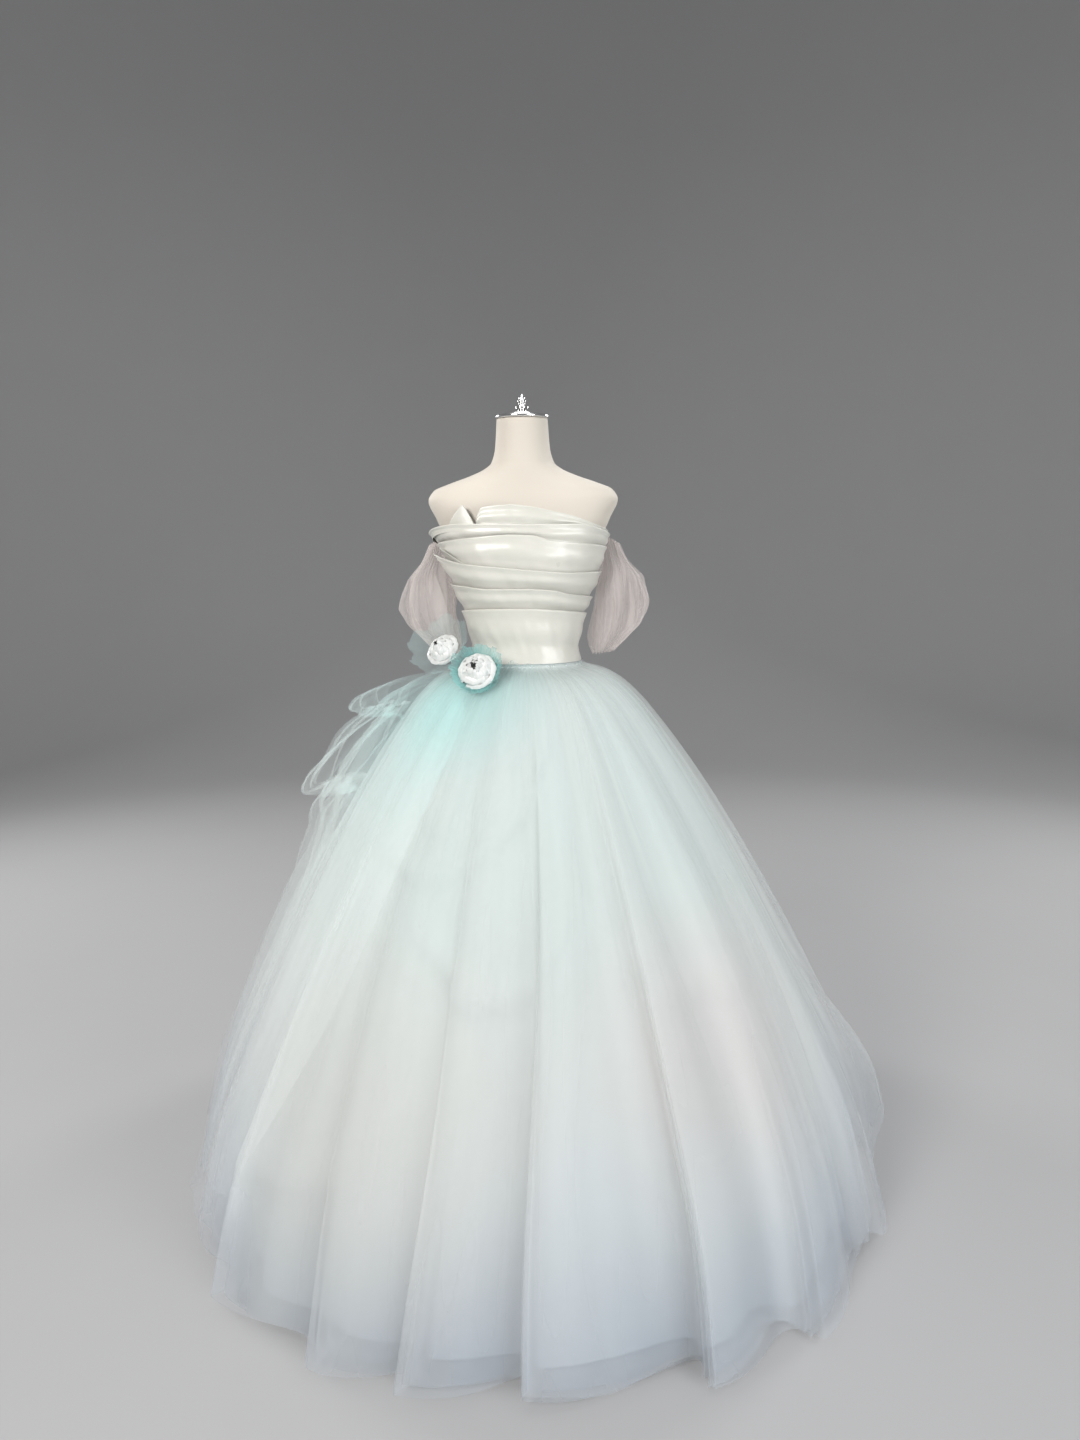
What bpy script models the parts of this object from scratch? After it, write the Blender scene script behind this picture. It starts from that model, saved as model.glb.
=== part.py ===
"""Strapless ball gown standing on a dress form, in metres, with +Z up and the front towards -Y.

The gown is a satin bodice dressed with folded bands, two tulle puff sleeves, a skirt of three layers, a
tulle drape over the hip and two rolled satin roses. Angles round the body are in degrees from the front,
positive towards +X. Left and right are the wearer's, so +X is left and the roses sit on the right hip."""

import math

import bmesh
import bpy
import numpy as np

# Gaps and walls
SEAM_GAP = 0.0003
SATIN = 0.0020
FOLDED_SATIN = 0.0024
TULLE = 0.0012

# Heights of the gown
WAIST = 1.062
NAPE_TO_FINIAL = 1.530

# The stand: a disc on the floor, a pole, and the form's chrome cap
BASE_RADIUS, BASE_EDGE, BASE_BOSS = 0.160, 0.010, 0.026
BOSS_RADIUS, POLE_RADIUS = 0.034, 0.016

# Sections of the dress form. front and back are how far the section reaches towards -Y and +Y, and square
# is the power of its superellipse, 2 for an ellipse.
FORM = {
    "columns": ("height", "side", "front", "back", "square"),
    "rows": (
        (0.860, 0.1500, 0.0950, 0.1100, 2.3),
        (0.930, 0.1480, 0.0950, 0.1080, 2.3),
        (1.000, 0.1220, 0.0860, 0.0920, 2.2),
        (1.060, 0.1020, 0.0765, 0.0755, 2.1),
        (1.095, 0.0996, 0.0754, 0.0734, 2.1),
        (1.150, 0.1096, 0.0823, 0.0784, 2.1),
        (1.190, 0.1240, 0.0950, 0.0870, 2.1),
        (1.235, 0.1400, 0.1115, 0.0935, 2.2),
        (1.270, 0.1480, 0.1160, 0.0960, 2.2),
        (1.305, 0.1560, 0.1040, 0.0960, 2.2),
        (1.340, 0.1700, 0.0880, 0.0930, 2.3),
        (1.376, 0.1855, 0.0740, 0.0860, 2.3),
        (1.395, 0.1750, 0.0660, 0.0800, 2.2),
        (1.408, 0.1450, 0.0620, 0.0750, 2.1),
        (1.422, 0.1050, 0.0590, 0.0700, 2.0),
        (1.435, 0.0760, 0.0570, 0.0660, 2.0),
        (1.447, 0.0615, 0.0540, 0.0600, 2.0),
        (1.475, 0.0535, 0.0500, 0.0520, 2.0),
        (1.530, 0.0495, 0.0470, 0.0480, 2.0),
    ),
}

# Sections of the bodice's outside. Above the bust it stands free of the form.
BODICE = {
    "columns": ("height", "side", "front", "back", "square"),
    "rows": (
        (1.062, 0.1100, 0.0825, 0.0825, 2.1),
        (1.095, 0.1030, 0.0790, 0.0770, 2.1),
        (1.150, 0.1135, 0.0865, 0.0825, 2.1),
        (1.190, 0.1275, 0.0985, 0.0905, 2.1),
        (1.235, 0.1435, 0.1150, 0.0970, 2.2),
        (1.270, 0.1515, 0.1200, 0.0995, 2.2),
        (1.305, 0.1600, 0.1160, 0.1000, 2.2),
        (1.340, 0.1680, 0.1080, 0.1000, 2.2),
        (1.375, 0.1720, 0.1000, 0.1000, 2.2),
    ),
}

# Degrees between the bodice's columns, and the top edge of its own panels by angle from the front
BODICE_STEP = 10
BODICE_TOP = ((0, 1.335), (40, 1.330), (70, 1.312), (92, 1.303), (130, 1.288), (180, 1.276))

# The folded bands, lowest first. Each row of a band is an angle, the height of its folded edge and how far
# that edge stands out from the bodice. Bands 3 and 5 end in a bow that juts past the wearer's right side.
BANDS = {
    "fold_band_1": ((-92, 1.160, 0.0078), (-80, 1.162, 0.008), (-40, 1.168, 0.009), (0, 1.169, 0.009),
                    (33, 1.165, 0.009), (80, 1.155, 0.008), (92, 1.153, 0.0078)),
    "fold_band_2": ((-92, 1.215, 0.0088), (-80, 1.214, 0.0088), (-58, 1.212, 0.010), (-34, 1.207, 0.009),
                    (0, 1.207, 0.009), (28, 1.203, 0.009), (45, 1.195, 0.010), (80, 1.187, 0.0085),
                    (92, 1.185, 0.0078)),
    "fold_band_3": ((-94, 1.262, 0.0078), (-88, 1.272, 0.020), (-68, 1.264, 0.016), (-51, 1.255, 0.011),
                    (-17, 1.247, 0.010), (11, 1.241, 0.010), (44, 1.236, 0.009), (80, 1.236, 0.008),
                    (92, 1.236, 0.0078)),
    "fold_band_4": ((-92, 1.285, 0.0095), (-84, 1.291, 0.0130), (-60, 1.299, 0.0105), (-38, 1.304, 0.010),
                    (-12, 1.308, 0.010), (8, 1.306, 0.010), (24, 1.296, 0.009), (60, 1.288, 0.009),
                    (80, 1.283, 0.008), (92, 1.280, 0.0078)),
    "fold_band_5": ((-94, 1.300, 0.0078), (-86, 1.312, 0.023), (-67, 1.325, 0.018), (-51, 1.329, 0.013),
                    (-18, 1.3275, 0.011), (9, 1.326, 0.011), (46, 1.327, 0.010), (66, 1.316, 0.009),
                    (88, 1.305, 0.0078)),
    "fold_band_6": ((-38, 1.346, 0.006), (-32, 1.358, 0.006), (-13, 1.3635, 0.006), (9, 1.359, 0.006),
                    (25, 1.352, 0.006), (42, 1.343, 0.006), (64, 1.324, 0.005), (80, 1.314, 0.0045)),
}
BAND_OVERLAP = 0.010
BAND_SEAT = 0.0007
BAND_BELLY = 0.60
PEAK_SPAN, PEAK_TOP, PEAK_FOOT = (-66, -42), 1.366, 1.320

# Puff sleeve sections, for the wearer's left: place of the centre, half sizes, and how much the ring tips
# down outwards
SLEEVE = {
    "columns": ("out", "back", "height", "half_out", "half_deep", "tip"),
    "rows": (
        (0.1725, 0.046, 1.300, 0.0210, 0.031, -0.55),
        (0.1800, 0.044, 1.268, 0.0280, 0.041, -0.35),
        (0.1930, 0.040, 1.225, 0.0420, 0.058, -0.15),
        (0.1930, 0.040, 1.175, 0.0520, 0.068, 0.00),
        (0.1860, 0.040, 1.130, 0.0510, 0.066, 0.12),
        (0.1710, 0.040, 1.096, 0.0400, 0.054, 0.20),
        (0.1600, 0.040, 1.074, 0.0250, 0.038, 0.18),
    ),
}
SLEEVE_PLEATS, SLEEVE_PLEAT_DEPTH = 8, 0.004

# Skirt: how far the outer layer reaches past the waist on the wearer's left, by the drop below the waist
SKIRT_DROP = (0.000, 0.006, 0.012, 0.026, 0.058, 0.120, 0.240, 0.420, 0.660, 0.860, 1.030)
SKIRT_REACH = (0.000, 0.0015, 0.026, 0.062, 0.105, 0.158, 0.243, 0.351, 0.475, 0.560, 0.604)
# Hem radius round the body: an average, a lean towards the wearer's left, a short train, an oval, and how
# far it reaches out at the four corners between front, back and sides
HEM_MEAN, HEM_LEAN, HEM_TRAIN, HEM_OVAL, HEM_CORNERS = 0.725, 0.020, 0.022, 0.030, 0.018

# Folds of the skirt: the valley where each starts, its crest, and how far it stands out at the hem
FOLDS = {
    "columns": ("valley", "crest", "height"),
    "rows": (
        (-96, -83, 0.012),
        (-73, -61, 0.020),
        (-49, -42, 0.034),
        (-32, -26, 0.020),
        (-16, -12, 0.026),
        (0, 4, 0.034),
        (21, 26, 0.036),
        (35, 44, 0.036),
        (57, 66, 0.020),
        (82, 96, 0.050),
        (112, 121, 0.030),
        (136, 145, 0.032),
        (158, 168, 0.036),
        (181, 190, 0.032),
        (203, 211, 0.030),
        (224, 232, 0.028),
        (244, 252, 0.024),
    ),
}
FOLD_GROWTH = 1.6

# Skirt layers: depth behind the outer layer at the waist and at the hem, and the hem's height off the floor
LAYERS = {
    "columns": ("name", "waist_depth", "hem_depth", "hem_height", "wall"),
    "rows": (
        ("tulle_outer", 0.0000, 0.000, 0.020, TULLE),
        ("tulle_inner", 0.0018, 0.018, 0.006, TULLE),
        ("underskirt", 0.0037, 0.080, 0.014, SATIN),
    ),
}
LAYER_GROWTH = 0.6
HEM_WAVE = 0.008

# Drape over the right hip: drop below the waist, the angles of its front and back edges, how far it stands
# off the skirt at its fullest, and the angle of that fullest place
DRAPE = {
    "columns": ("drop", "front_edge", "back_edge", "stand_off", "fullest"),
    "rows": (
        (0.018, -55, -76, 0.002, -66),
        (0.024, -55, -92, 0.014, -76),
        (0.050, -52, -106, 0.050, -88),
        (0.105, -45, -116, 0.090, -91),
        (0.185, -37, -122, 0.082, -92),
        (0.265, -37, -122, 0.080, -92),
        (0.350, -37, -122, 0.042, -92),
        (0.460, -37, -122, 0.012, -92),
        (0.620, -37, -120, 0.004, -92),
        (0.790, -37, -116, 0.003, -92),
        (0.960, -42, -112, 0.004, -92),
    ),
}
DRAPE_CLEARANCE, DRAPE_EASE, DRAPE_STEP = 0.0016, 0.0050, 0.5

# Rolled roses: place of the mouth's middle, the way it faces, radius of its mouth, height, turns of the roll
ROSES = {
    "rose_front": {"mouth_at": (-0.0900, -0.1560, 1.0700), "faces": (-0.18, -0.84, 0.52), "mouth": 0.038,
                   "height": 0.034, "turns": 2.6},
    "rose_back": {"mouth_at": (-0.1660, -0.0860, 1.1020), "faces": (-0.55, -0.60, 0.60), "mouth": 0.033,
                  "height": 0.030, "turns": 2.2},
}
ROSE_STEPS_PER_TURN, ROSE_NECK = 12, 0.30
# Frills round the roses: radius of each ring, outermost first, how far it lies in front of the rose's foot,
# and the waves of its edge. The puff's last ring is gathered against the waist.
RUFFLE = {"rings": (0.052, 0.034, 0.0125), "lifts": (0.016, 0.004, -0.0018), "waves": 8, "wave": 0.004}
PUFF = {"rings": (0.050, 0.034, 0.0110, 0.010), "lifts": (0.024, 0.006, -0.0018, -0.050), "waves": 6,
        "wave": 0.005}
FRILL_CLEARANCE, FRILL_OFF_BAND = 0.0020, 0.0075

SATIN_WHITE = ("satin_white", (0.86, 0.84, 0.79), 0.32, 0.0)
TULLE_MINT = ("tulle_mint", (0.68, 0.84, 0.81), 0.80, 0.0)
TULLE_PALE = ("tulle_pale", (0.80, 0.83, 0.87), 0.80, 0.0)
TULLE_BLUSH = ("tulle_blush", (0.78, 0.72, 0.71), 0.80, 0.0)
TULLE_AQUA = ("tulle_aqua", (0.30, 0.75, 0.76), 0.80, 0.0)
LINING_WHITE = ("lining_white", (0.88, 0.89, 0.88), 0.55, 0.0)
FORM_IVORY = ("form_ivory", (0.84, 0.79, 0.72), 0.75, 0.0)
CHROME = ("chrome", (0.82, 0.82, 0.82), 0.12, 1.0)


def clear_scene():
    for obj in list(bpy.data.objects):
        bpy.data.objects.remove(obj, do_unlink=True)


def material(paint):
    """The Principled material of a (name, colour, roughness, metallic) finish, made once."""
    name, colour, roughness, metallic = paint
    found = bpy.data.materials.get(name)
    if found:
        return found
    made = bpy.data.materials.new(name)
    made.use_nodes = True
    shader = made.node_tree.nodes["Principled BSDF"]
    shader.inputs["Base Color"].default_value = (*colour, 1.0)
    shader.inputs["Roughness"].default_value = roughness
    shader.inputs["Metallic"].default_value = metallic
    return made


def add_object(name, mesh, paint):
    mesh.materials.append(material(paint))
    mesh.shade_smooth()
    mesh.set_sharp_from_angle(angle=math.radians(50))
    obj = bpy.data.objects.new(name, mesh)
    bpy.context.collection.objects.link(obj)
    return obj


def column(table, name):
    """One named column of a table, as an array."""
    place = table["columns"].index(name)
    return np.array([row[place] for row in table["rows"]], float)


def smooth_curve(places, values):
    """A function through the points that keeps rising or falling where they do, so it never overshoots."""
    places, values = np.array(places, float), np.array(values, float)
    steps = np.diff(places)
    rises = np.diff(values) / steps
    slopes = np.zeros(len(values))
    slopes[0], slopes[-1] = rises[0], rises[-1]
    for i in range(1, len(values) - 1):
        if rises[i - 1] * rises[i] > 0:
            slopes[i] = 2 * rises[i - 1] * rises[i] / (rises[i - 1] + rises[i])

    def value(x):
        x = min(max(x, places[0]), places[-1])
        i = min(int(np.searchsorted(places, x, side="right")) - 1, len(steps) - 1)
        t = (x - places[i]) / steps[i]
        return (
            (1 + 2 * t) * (1 - t) ** 2 * values[i]
            + t * (1 - t) ** 2 * steps[i] * slopes[i]
            + t**2 * (3 - 2 * t) * values[i + 1]
            + t**2 * (t - 1) * steps[i] * slopes[i + 1]
        )

    return value


def section_curves(table):
    heights = column(table, "height")
    return {name: smooth_curve(heights, column(table, name)) for name in table["columns"][1:]}


FORM_CURVES = section_curves(FORM)
BODICE_CURVES = section_curves(BODICE)


def section_radius(curves, angle, height, lift=0.0):
    """Distance from the axis to a section's outline in one direction, the outline grown by lift."""
    turn = math.radians(angle)
    along = curves["front"](height) if math.cos(turn) > 0 else curves["back"](height)
    side, square = curves["side"](height) + lift, curves["square"](height)
    across = abs(math.sin(turn)) / side
    deep = abs(math.cos(turn)) / (along + lift)
    return (across**square + deep**square) ** (-1 / square)


def polar(angle, radius, height):
    turn = math.radians(angle)
    return (radius * math.sin(turn), -radius * math.cos(turn), height)


def bodice_point(angle, height, lift=0.0):
    return polar(angle, section_radius(BODICE_CURVES, angle, height, lift), height)


def outward(grid, closed):
    """Unit normals of a grid whose rows run down and whose columns run from -X to +X across the front."""
    if closed:
        across = np.roll(grid, -1, 1) - np.roll(grid, 1, 1)
    else:
        across = np.gradient(grid, axis=1)
    normals = np.cross(np.gradient(grid, axis=0), across)
    return normals / np.linalg.norm(normals, axis=2, keepdims=True)


def wall(name, outside, inside, paint, closed=False):
    """A closed wall of cloth between two grids of the same shape. A closed one runs all the way round."""
    rows, columns = outside.shape[:2]
    behind = rows * columns

    def corner(i, j):
        return i * columns + j % columns

    faces = []

    def quad(a, b, c, d):
        faces.extend(((a, b, c), (a, c, d)))

    across = columns if closed else columns - 1
    for i in range(rows - 1):
        for j in range(across):
            a, b, c, d = corner(i, j), corner(i + 1, j), corner(i + 1, j + 1), corner(i, j + 1)
            quad(a, b, c, d)
            faces.extend(((a + behind, c + behind, b + behind), (a + behind, d + behind, c + behind)))
    for j in range(across):
        top, beside = corner(0, j), corner(0, j + 1)
        quad(top, beside, beside + behind, top + behind)
        low, beside = corner(rows - 1, j), corner(rows - 1, j + 1)
        quad(beside, low, low + behind, beside + behind)
    if not closed:
        for i in range(rows - 1):
            upper, lower = corner(i, 0), corner(i + 1, 0)
            quad(lower, upper, upper + behind, lower + behind)
            upper, lower = corner(i, columns - 1), corner(i + 1, columns - 1)
            quad(upper, lower, lower + behind, upper + behind)
    mesh = bpy.data.meshes.new(name)
    points = np.concatenate([outside.reshape(-1, 3), inside.reshape(-1, 3)])
    mesh.from_pydata(points.tolist(), [], faces)
    return add_object(name, mesh, paint)


def panel(name, outside, inside, first, last, paint):
    """The columns first to last of a ring of cloth, each cut edge drawn in by half a seam gap."""
    grids = []
    for grid in (outside, inside):
        cut = grid[:, first : last + 1].copy()
        for edge, beside in ((0, 1), (-1, -2)):
            inwards = cut[:, beside] - cut[:, edge]
            inwards /= np.linalg.norm(inwards, axis=1, keepdims=True)
            cut[:, edge] += inwards * SEAM_GAP / 2
        grids.append(cut)
    return wall(name, *grids, paint)


def turned(name, profile, paint, segments=40):
    """A solid of revolution from its (radius, height) profile, which starts and ends on the axis."""
    mesh = bmesh.new()
    points = [mesh.verts.new((radius, 0, height)) for radius, height in profile]
    edges = [mesh.edges.new(pair) for pair in zip(points, points[1:])]
    bmesh.ops.spin(
        mesh, geom=points + edges, cent=(0, 0, 0), axis=(0, 0, 1), angle=math.tau, steps=segments,
        use_merge=True,
    )
    bmesh.ops.remove_doubles(mesh, verts=mesh.verts, dist=1e-6)
    bmesh.ops.recalc_face_normals(mesh, faces=mesh.faces)
    data = bpy.data.meshes.new(name)
    mesh.to_mesh(data)
    mesh.free()
    return add_object(name, data, paint)


def make_stand():
    turned("stand_base", (
        (0, 0), (BASE_RADIUS - 0.003, 0), (BASE_RADIUS, 0.003), (BASE_RADIUS, BASE_EDGE - 0.004),
        (BASE_RADIUS - 0.004, BASE_EDGE), (BOSS_RADIUS + 0.010, BASE_EDGE + 0.003),
        (BOSS_RADIUS, BASE_BOSS - 0.004), (BOSS_RADIUS - 0.004, BASE_BOSS), (0, BASE_BOSS),
    ), CHROME, 48)
    low, high = BASE_BOSS + SEAM_GAP, FORM["rows"][0][0] - SEAM_GAP
    turned("stand_pole", ((0, low), (POLE_RADIUS, low), (POLE_RADIUS, high), (0, high)), CHROME, 24)


def make_form():
    """The ivory form: a loft through its sections, flat at the hips and at the neck."""
    segments = 32
    angles = [360 * j / segments for j in range(segments)]
    rows = column(FORM, "height")
    heights = sorted([*rows, *((rows[1:] + rows[:-1]) / 2)])
    rings = [[polar(angle, section_radius(FORM_CURVES, angle, h), h) for angle in angles] for h in heights]
    mesh = bmesh.new()
    loops = []
    for ring in rings:
        points = [mesh.verts.new(point) for point in ring]
        loops.append([mesh.edges.new((points[j], points[(j + 1) % segments])) for j in range(segments)])
    mesh.faces.new([edge.verts[0] for edge in loops[0]])
    mesh.faces.new([edge.verts[0] for edge in loops[-1]])
    for low, high in zip(loops, loops[1:]):
        bmesh.ops.bridge_loops(mesh, edges=low + high)
    bmesh.ops.recalc_face_normals(mesh, faces=mesh.faces)
    data = bpy.data.meshes.new("form_torso")
    mesh.to_mesh(data)
    mesh.free()
    add_object("form_torso", data, FORM_IVORY)


def make_neck_cap():
    """A stepped chrome plate on the neck, and the turned finial that screws into it."""
    foot = NAPE_TO_FINIAL + SEAM_GAP
    turned("form_neck_cap", (
        (0, foot), (0.052, foot), (0.0535, foot + 0.002), (0.052, foot + 0.0045), (0.044, foot + 0.0055),
        (0.036, foot + 0.0075), (0.030, foot + 0.0115), (0.014, foot + 0.0130), (0, foot + 0.0130),
    ), CHROME)
    foot += 0.0130 + SEAM_GAP
    turned("form_finial", (
        (0, foot), (0.010, foot), (0.0075, foot + 0.002), (0.0130, foot + 0.006), (0.0135, foot + 0.009),
        (0.0085, foot + 0.0135), (0.0060, foot + 0.015), (0.0085, foot + 0.018), (0.0085, foot + 0.021),
        (0.0055, foot + 0.0235), (0.0065, foot + 0.026), (0.0040, foot + 0.0295), (0, foot + 0.0335),
    ), CHROME, 28)


def make_bodice():
    """Front and two back panels of satin, meeting at the side seams and at the centre back."""
    angles = range(-90, 270, BODICE_STEP)
    top = smooth_curve(*zip(*BODICE_TOP))
    shares = np.linspace(0, 1, 11)

    def point(angle, share, lift):
        highest = top(abs((angle + 180) % 360 - 180))
        return bodice_point(angle, highest + (WAIST - highest) * share, lift)

    outside, inside = (
        np.array([[point(angle, share, lift) for angle in angles] for share in shares])
        for lift in (0, -SATIN)
    )
    around = [np.concatenate([grid, grid[:, :1]], axis=1) for grid in (outside, inside)]
    side, middle, end = (turn // BODICE_STEP for turn in (180, 270, 360))
    panel("bodice_front", *around, 0, side, SATIN_WHITE)
    panel("bodice_back_left", *around, side, middle, SATIN_WHITE)
    panel("bodice_back_right", *around, middle, end, SATIN_WHITE)


def make_band(name):
    """One folded band: its foot lies on the bodice and its folded top edge stands out from it."""
    angles, edges, lips = zip(*BANDS[name])
    edge, lip = smooth_curve(angles, edges), smooth_curve(angles, lips)
    below = f"fold_band_{int(name[-1]) - 1}"
    seat = BAND_SEAT + FOLDED_SATIN

    def foot(angle):
        if below not in BANDS:
            return WAIST
        places, heights, _ = zip(*BANDS[below])
        return smooth_curve(places, heights)(angle) - BAND_OVERLAP

    def point(angle, share, behind):
        low = foot(angle)
        lift = seat + (lip(angle) - seat) * share
        return bodice_point(angle, low + (edge(angle) - low) * share, lift - behind)

    first, last = math.ceil(angles[0] / BODICE_STEP), math.floor(angles[-1] / BODICE_STEP)
    columns = sorted({*angles, *(BODICE_STEP * k for k in range(first, last + 1))})
    outside, inside = (
        np.array([[point(angle, share, behind) for angle in columns] for share in (1.0, BAND_BELLY, 0.0)])
        for behind in (0, FOLDED_SATIN)
    )
    wall(name, outside, inside, SATIN_WHITE)


def make_peak():
    """The pointed fold that stands up at the neckline between bands 5 and 6."""
    first, last = PEAK_SPAN
    angles = np.linspace(first, last, 5)
    tops = PEAK_FOOT + (PEAK_TOP - PEAK_FOOT) * (1 - np.abs(np.linspace(-1, 1, 5)) * 0.93)

    def point(angle, top, share, lift):
        return bodice_point(angle, PEAK_FOOT + (top - PEAK_FOOT) * share, lift)

    def grid(lift):
        return np.array([
            [point(angle, top, share, lift) for angle, top in zip(angles, tops)] for share in (1.0, 0.5, 0.0)
        ])

    wall("fold_peak", grid(BAND_SEAT + FOLDED_SATIN), grid(BAND_SEAT), SATIN_WHITE)


def make_sleeve(name, side):
    """A puff sleeve, open at both ends, gathered into lengthwise pleats. side is 1 at +X and -1 at -X."""
    columns = 2 * SLEEVE_PLEATS
    rows = []
    for out, back, height, half_out, half_deep, tip in SLEEVE["rows"]:
        ring = []
        for j in range(columns):
            turn = math.tau * j / columns
            puff = 1 + SLEEVE_PLEAT_DEPTH / half_out * (0.5 if j % 2 else -0.5) * min(1, half_out / 0.05)
            x = half_out * puff * -math.cos(turn)
            y = half_deep * puff * -math.sin(turn)
            ring.append((side * (out + x), back + y * side, height + tip * x))
        rows.append(ring)
    outside = np.array(rows)
    inside = outside - outward(outside, True) * TULLE
    wall(name, outside, inside, TULLE_BLUSH, closed=True)


def hem_radius(angle):
    turn = math.radians(angle)
    shift = HEM_LEAN * math.sin(turn) - HEM_TRAIN * math.cos(turn)
    return HEM_MEAN + shift + HEM_OVAL * math.cos(2 * turn) - HEM_CORNERS * math.cos(4 * turn)


REACH = smooth_curve(SKIRT_DROP, SKIRT_REACH)
FOLD_ROWS = [*FOLDS["rows"], (FOLDS["rows"][0][0] + 360, 0, 0)]


def fold_angles():
    """Where the skirt's columns run: each fold's valley, crest and far flank, and the two side seams."""
    angles = {-90.0, 90.0}
    for (valley, crest, _), (following, _, _) in zip(FOLD_ROWS, FOLD_ROWS[1:]):
        angles |= {float(valley), float(crest), (crest + following) / 2}
    seam = -90.0
    return sorted(angle if angle >= seam else angle + 360 for angle in angles)


def fold_height(angle):
    """How far the folds push the hem out at an angle, below zero in the valleys."""
    first = FOLD_ROWS[0][0]
    angle = (angle - first) % 360 + first
    for (valley, crest, height), (following, _, _) in zip(FOLD_ROWS, FOLD_ROWS[1:]):
        if angle <= following:
            span = (crest - valley) if angle < crest else (following - crest)
            away = min(1.0, abs(angle - crest) / span)
            return height * math.cos(math.pi * away)
    return 0.0


def skirt_point(angle, drop, depth=0.0, folded=True):
    """A point of the skirt, depth behind its outer layer, at a drop below the waist seam."""
    seat = SEAM_GAP + FOLDED_SATIN
    waist = section_radius(BODICE_CURVES, angle, WAIST, seat)
    spread = (hem_radius(angle) - waist) / SKIRT_REACH[-1]
    fold = folded * fold_height(angle) * (drop / SKIRT_DROP[-1]) ** FOLD_GROWTH
    step = 0.002
    slope = (REACH(drop + step) - REACH(max(drop - step, 0))) / (step + min(drop, step)) * spread
    if drop == 0:
        slope = 0.0
    tilt = math.hypot(1, slope)
    radius = waist + REACH(drop) * spread + fold - depth / tilt
    return polar(angle, radius, WAIST - SEAM_GAP - drop - depth * slope / tilt)


def make_layer(name, waist_depth, hem_depth, hem_height, thickness, paint):
    """One layer of the skirt, cut as a front and a back."""
    folded = name != "underskirt"
    angles = fold_angles() if folded else list(range(-90, 270, 15))
    drops = SKIRT_DROP if name == "tulle_outer" else SKIRT_DROP[:3] + SKIRT_DROP[4::2]

    def point(angle, drop, behind):
        share = drop / SKIRT_DROP[-1]
        wave = HEM_WAVE * math.cos(math.radians(5 * angle)) * (name == "tulle_outer")
        reach = WAIST - hem_height - wave - SEAM_GAP
        depth = waist_depth + (hem_depth - waist_depth) * share**LAYER_GROWTH + behind
        return skirt_point(angle, drop * reach / SKIRT_DROP[-1], depth, folded)

    outside, inside = (
        np.array([[point(angle, drop, behind) for angle in angles] for drop in drops])
        for behind in (0, thickness)
    )
    around = [np.concatenate([grid, grid[:, :1]], axis=1) for grid in (outside, inside)]
    side = angles.index(90)
    panel(f"{name}_front", *around, 0, side, paint)
    panel(f"{name}_back", *around, side, len(angles), paint)


def make_skirt():
    paints = {"tulle_outer": TULLE_MINT, "tulle_inner": TULLE_PALE, "underskirt": LINING_WHITE}
    for name, waist_depth, hem_depth, hem_height, thickness in LAYERS["rows"]:
        make_layer(name, waist_depth, hem_depth, hem_height, thickness, paints[name])


def make_drape():
    """The tulle that is gathered under the roses, billows over the hip and falls down the side."""
    around = sorted((angle + 180) % 360 - 180 for angle in fold_angles())
    around = [angle for angle in around if -126 < angle < -30]
    last = len(around) - 1

    def point(row, k):
        drop, front_edge, back_edge, stand_off, fullest = row
        angle = min(max(around[k], back_edge + DRAPE_STEP * k), front_edge - DRAPE_STEP * (last - k))
        swell = math.cos(math.radians(min(90, abs(angle - fullest) * 1.5))) ** 2
        puff = DRAPE_CLEARANCE + TULLE + DRAPE_EASE * min(1, drop / 0.1) + stand_off * swell
        return skirt_point(angle, drop, -puff)

    outside = np.array([[point(row, k) for k in range(last + 1)] for row in DRAPE["rows"]])
    inside = outside - outward(outside, False) * TULLE
    wall("side_drape", outside, inside, TULLE_MINT)


def rose_axes(faces):
    """Two directions across a rose and the one it faces."""
    ahead = np.array(faces) / np.linalg.norm(faces)
    across = np.cross(ahead, (0, 0, 1))
    across /= np.linalg.norm(across)
    return across, np.cross(across, ahead), ahead


def make_rose(name, mouth_at, faces, mouth, height, turns):
    """A strip of satin rolled from a tight bud outwards, its edge flaring at the mouth."""
    across, upward, ahead = rose_axes(faces)
    steps = round(turns * ROSE_STEPS_PER_TURN)
    bud = 0.16

    def point(k, share):
        turn = math.tau * turns * k / steps
        spiral = bud + (1 - bud) * k / steps
        radius = mouth * spiral * (ROSE_NECK + (1 - ROSE_NECK) * share**0.8)
        petal = 1 - 0.10 * math.cos(3 * turn)
        lift = height * (share * (1.12 - 0.30 * spiral**2) * petal - 1)
        outwards = across * math.cos(turn) + upward * math.sin(turn)
        return np.array(mouth_at) + ahead * lift + radius * outwards

    outside = np.array([[point(k, share) for k in range(steps + 1)] for share in (1.0, 0.55, 0.0)])
    inside = outside - outward(outside, False) * TULLE
    wall(name, outside, inside, SATIN_WHITE)


def settled(point):
    """The point, moved straight out from the axis where it would sink into the gown."""
    x, y, height = point
    angle, radius = math.degrees(math.atan2(x, -y)), math.hypot(x, y)
    if height > WAIST:
        least = section_radius(BODICE_CURVES, angle, height, FRILL_OFF_BAND)
    else:
        drop = WAIST - height
        for _ in range(6):
            on_skirt = skirt_point(angle, drop, -FRILL_CLEARANCE)
            drop = max(0, drop + on_skirt[2] - height)
        least = math.hypot(*on_skirt[:2])
    return polar(angle, max(radius, least), height)


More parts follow.
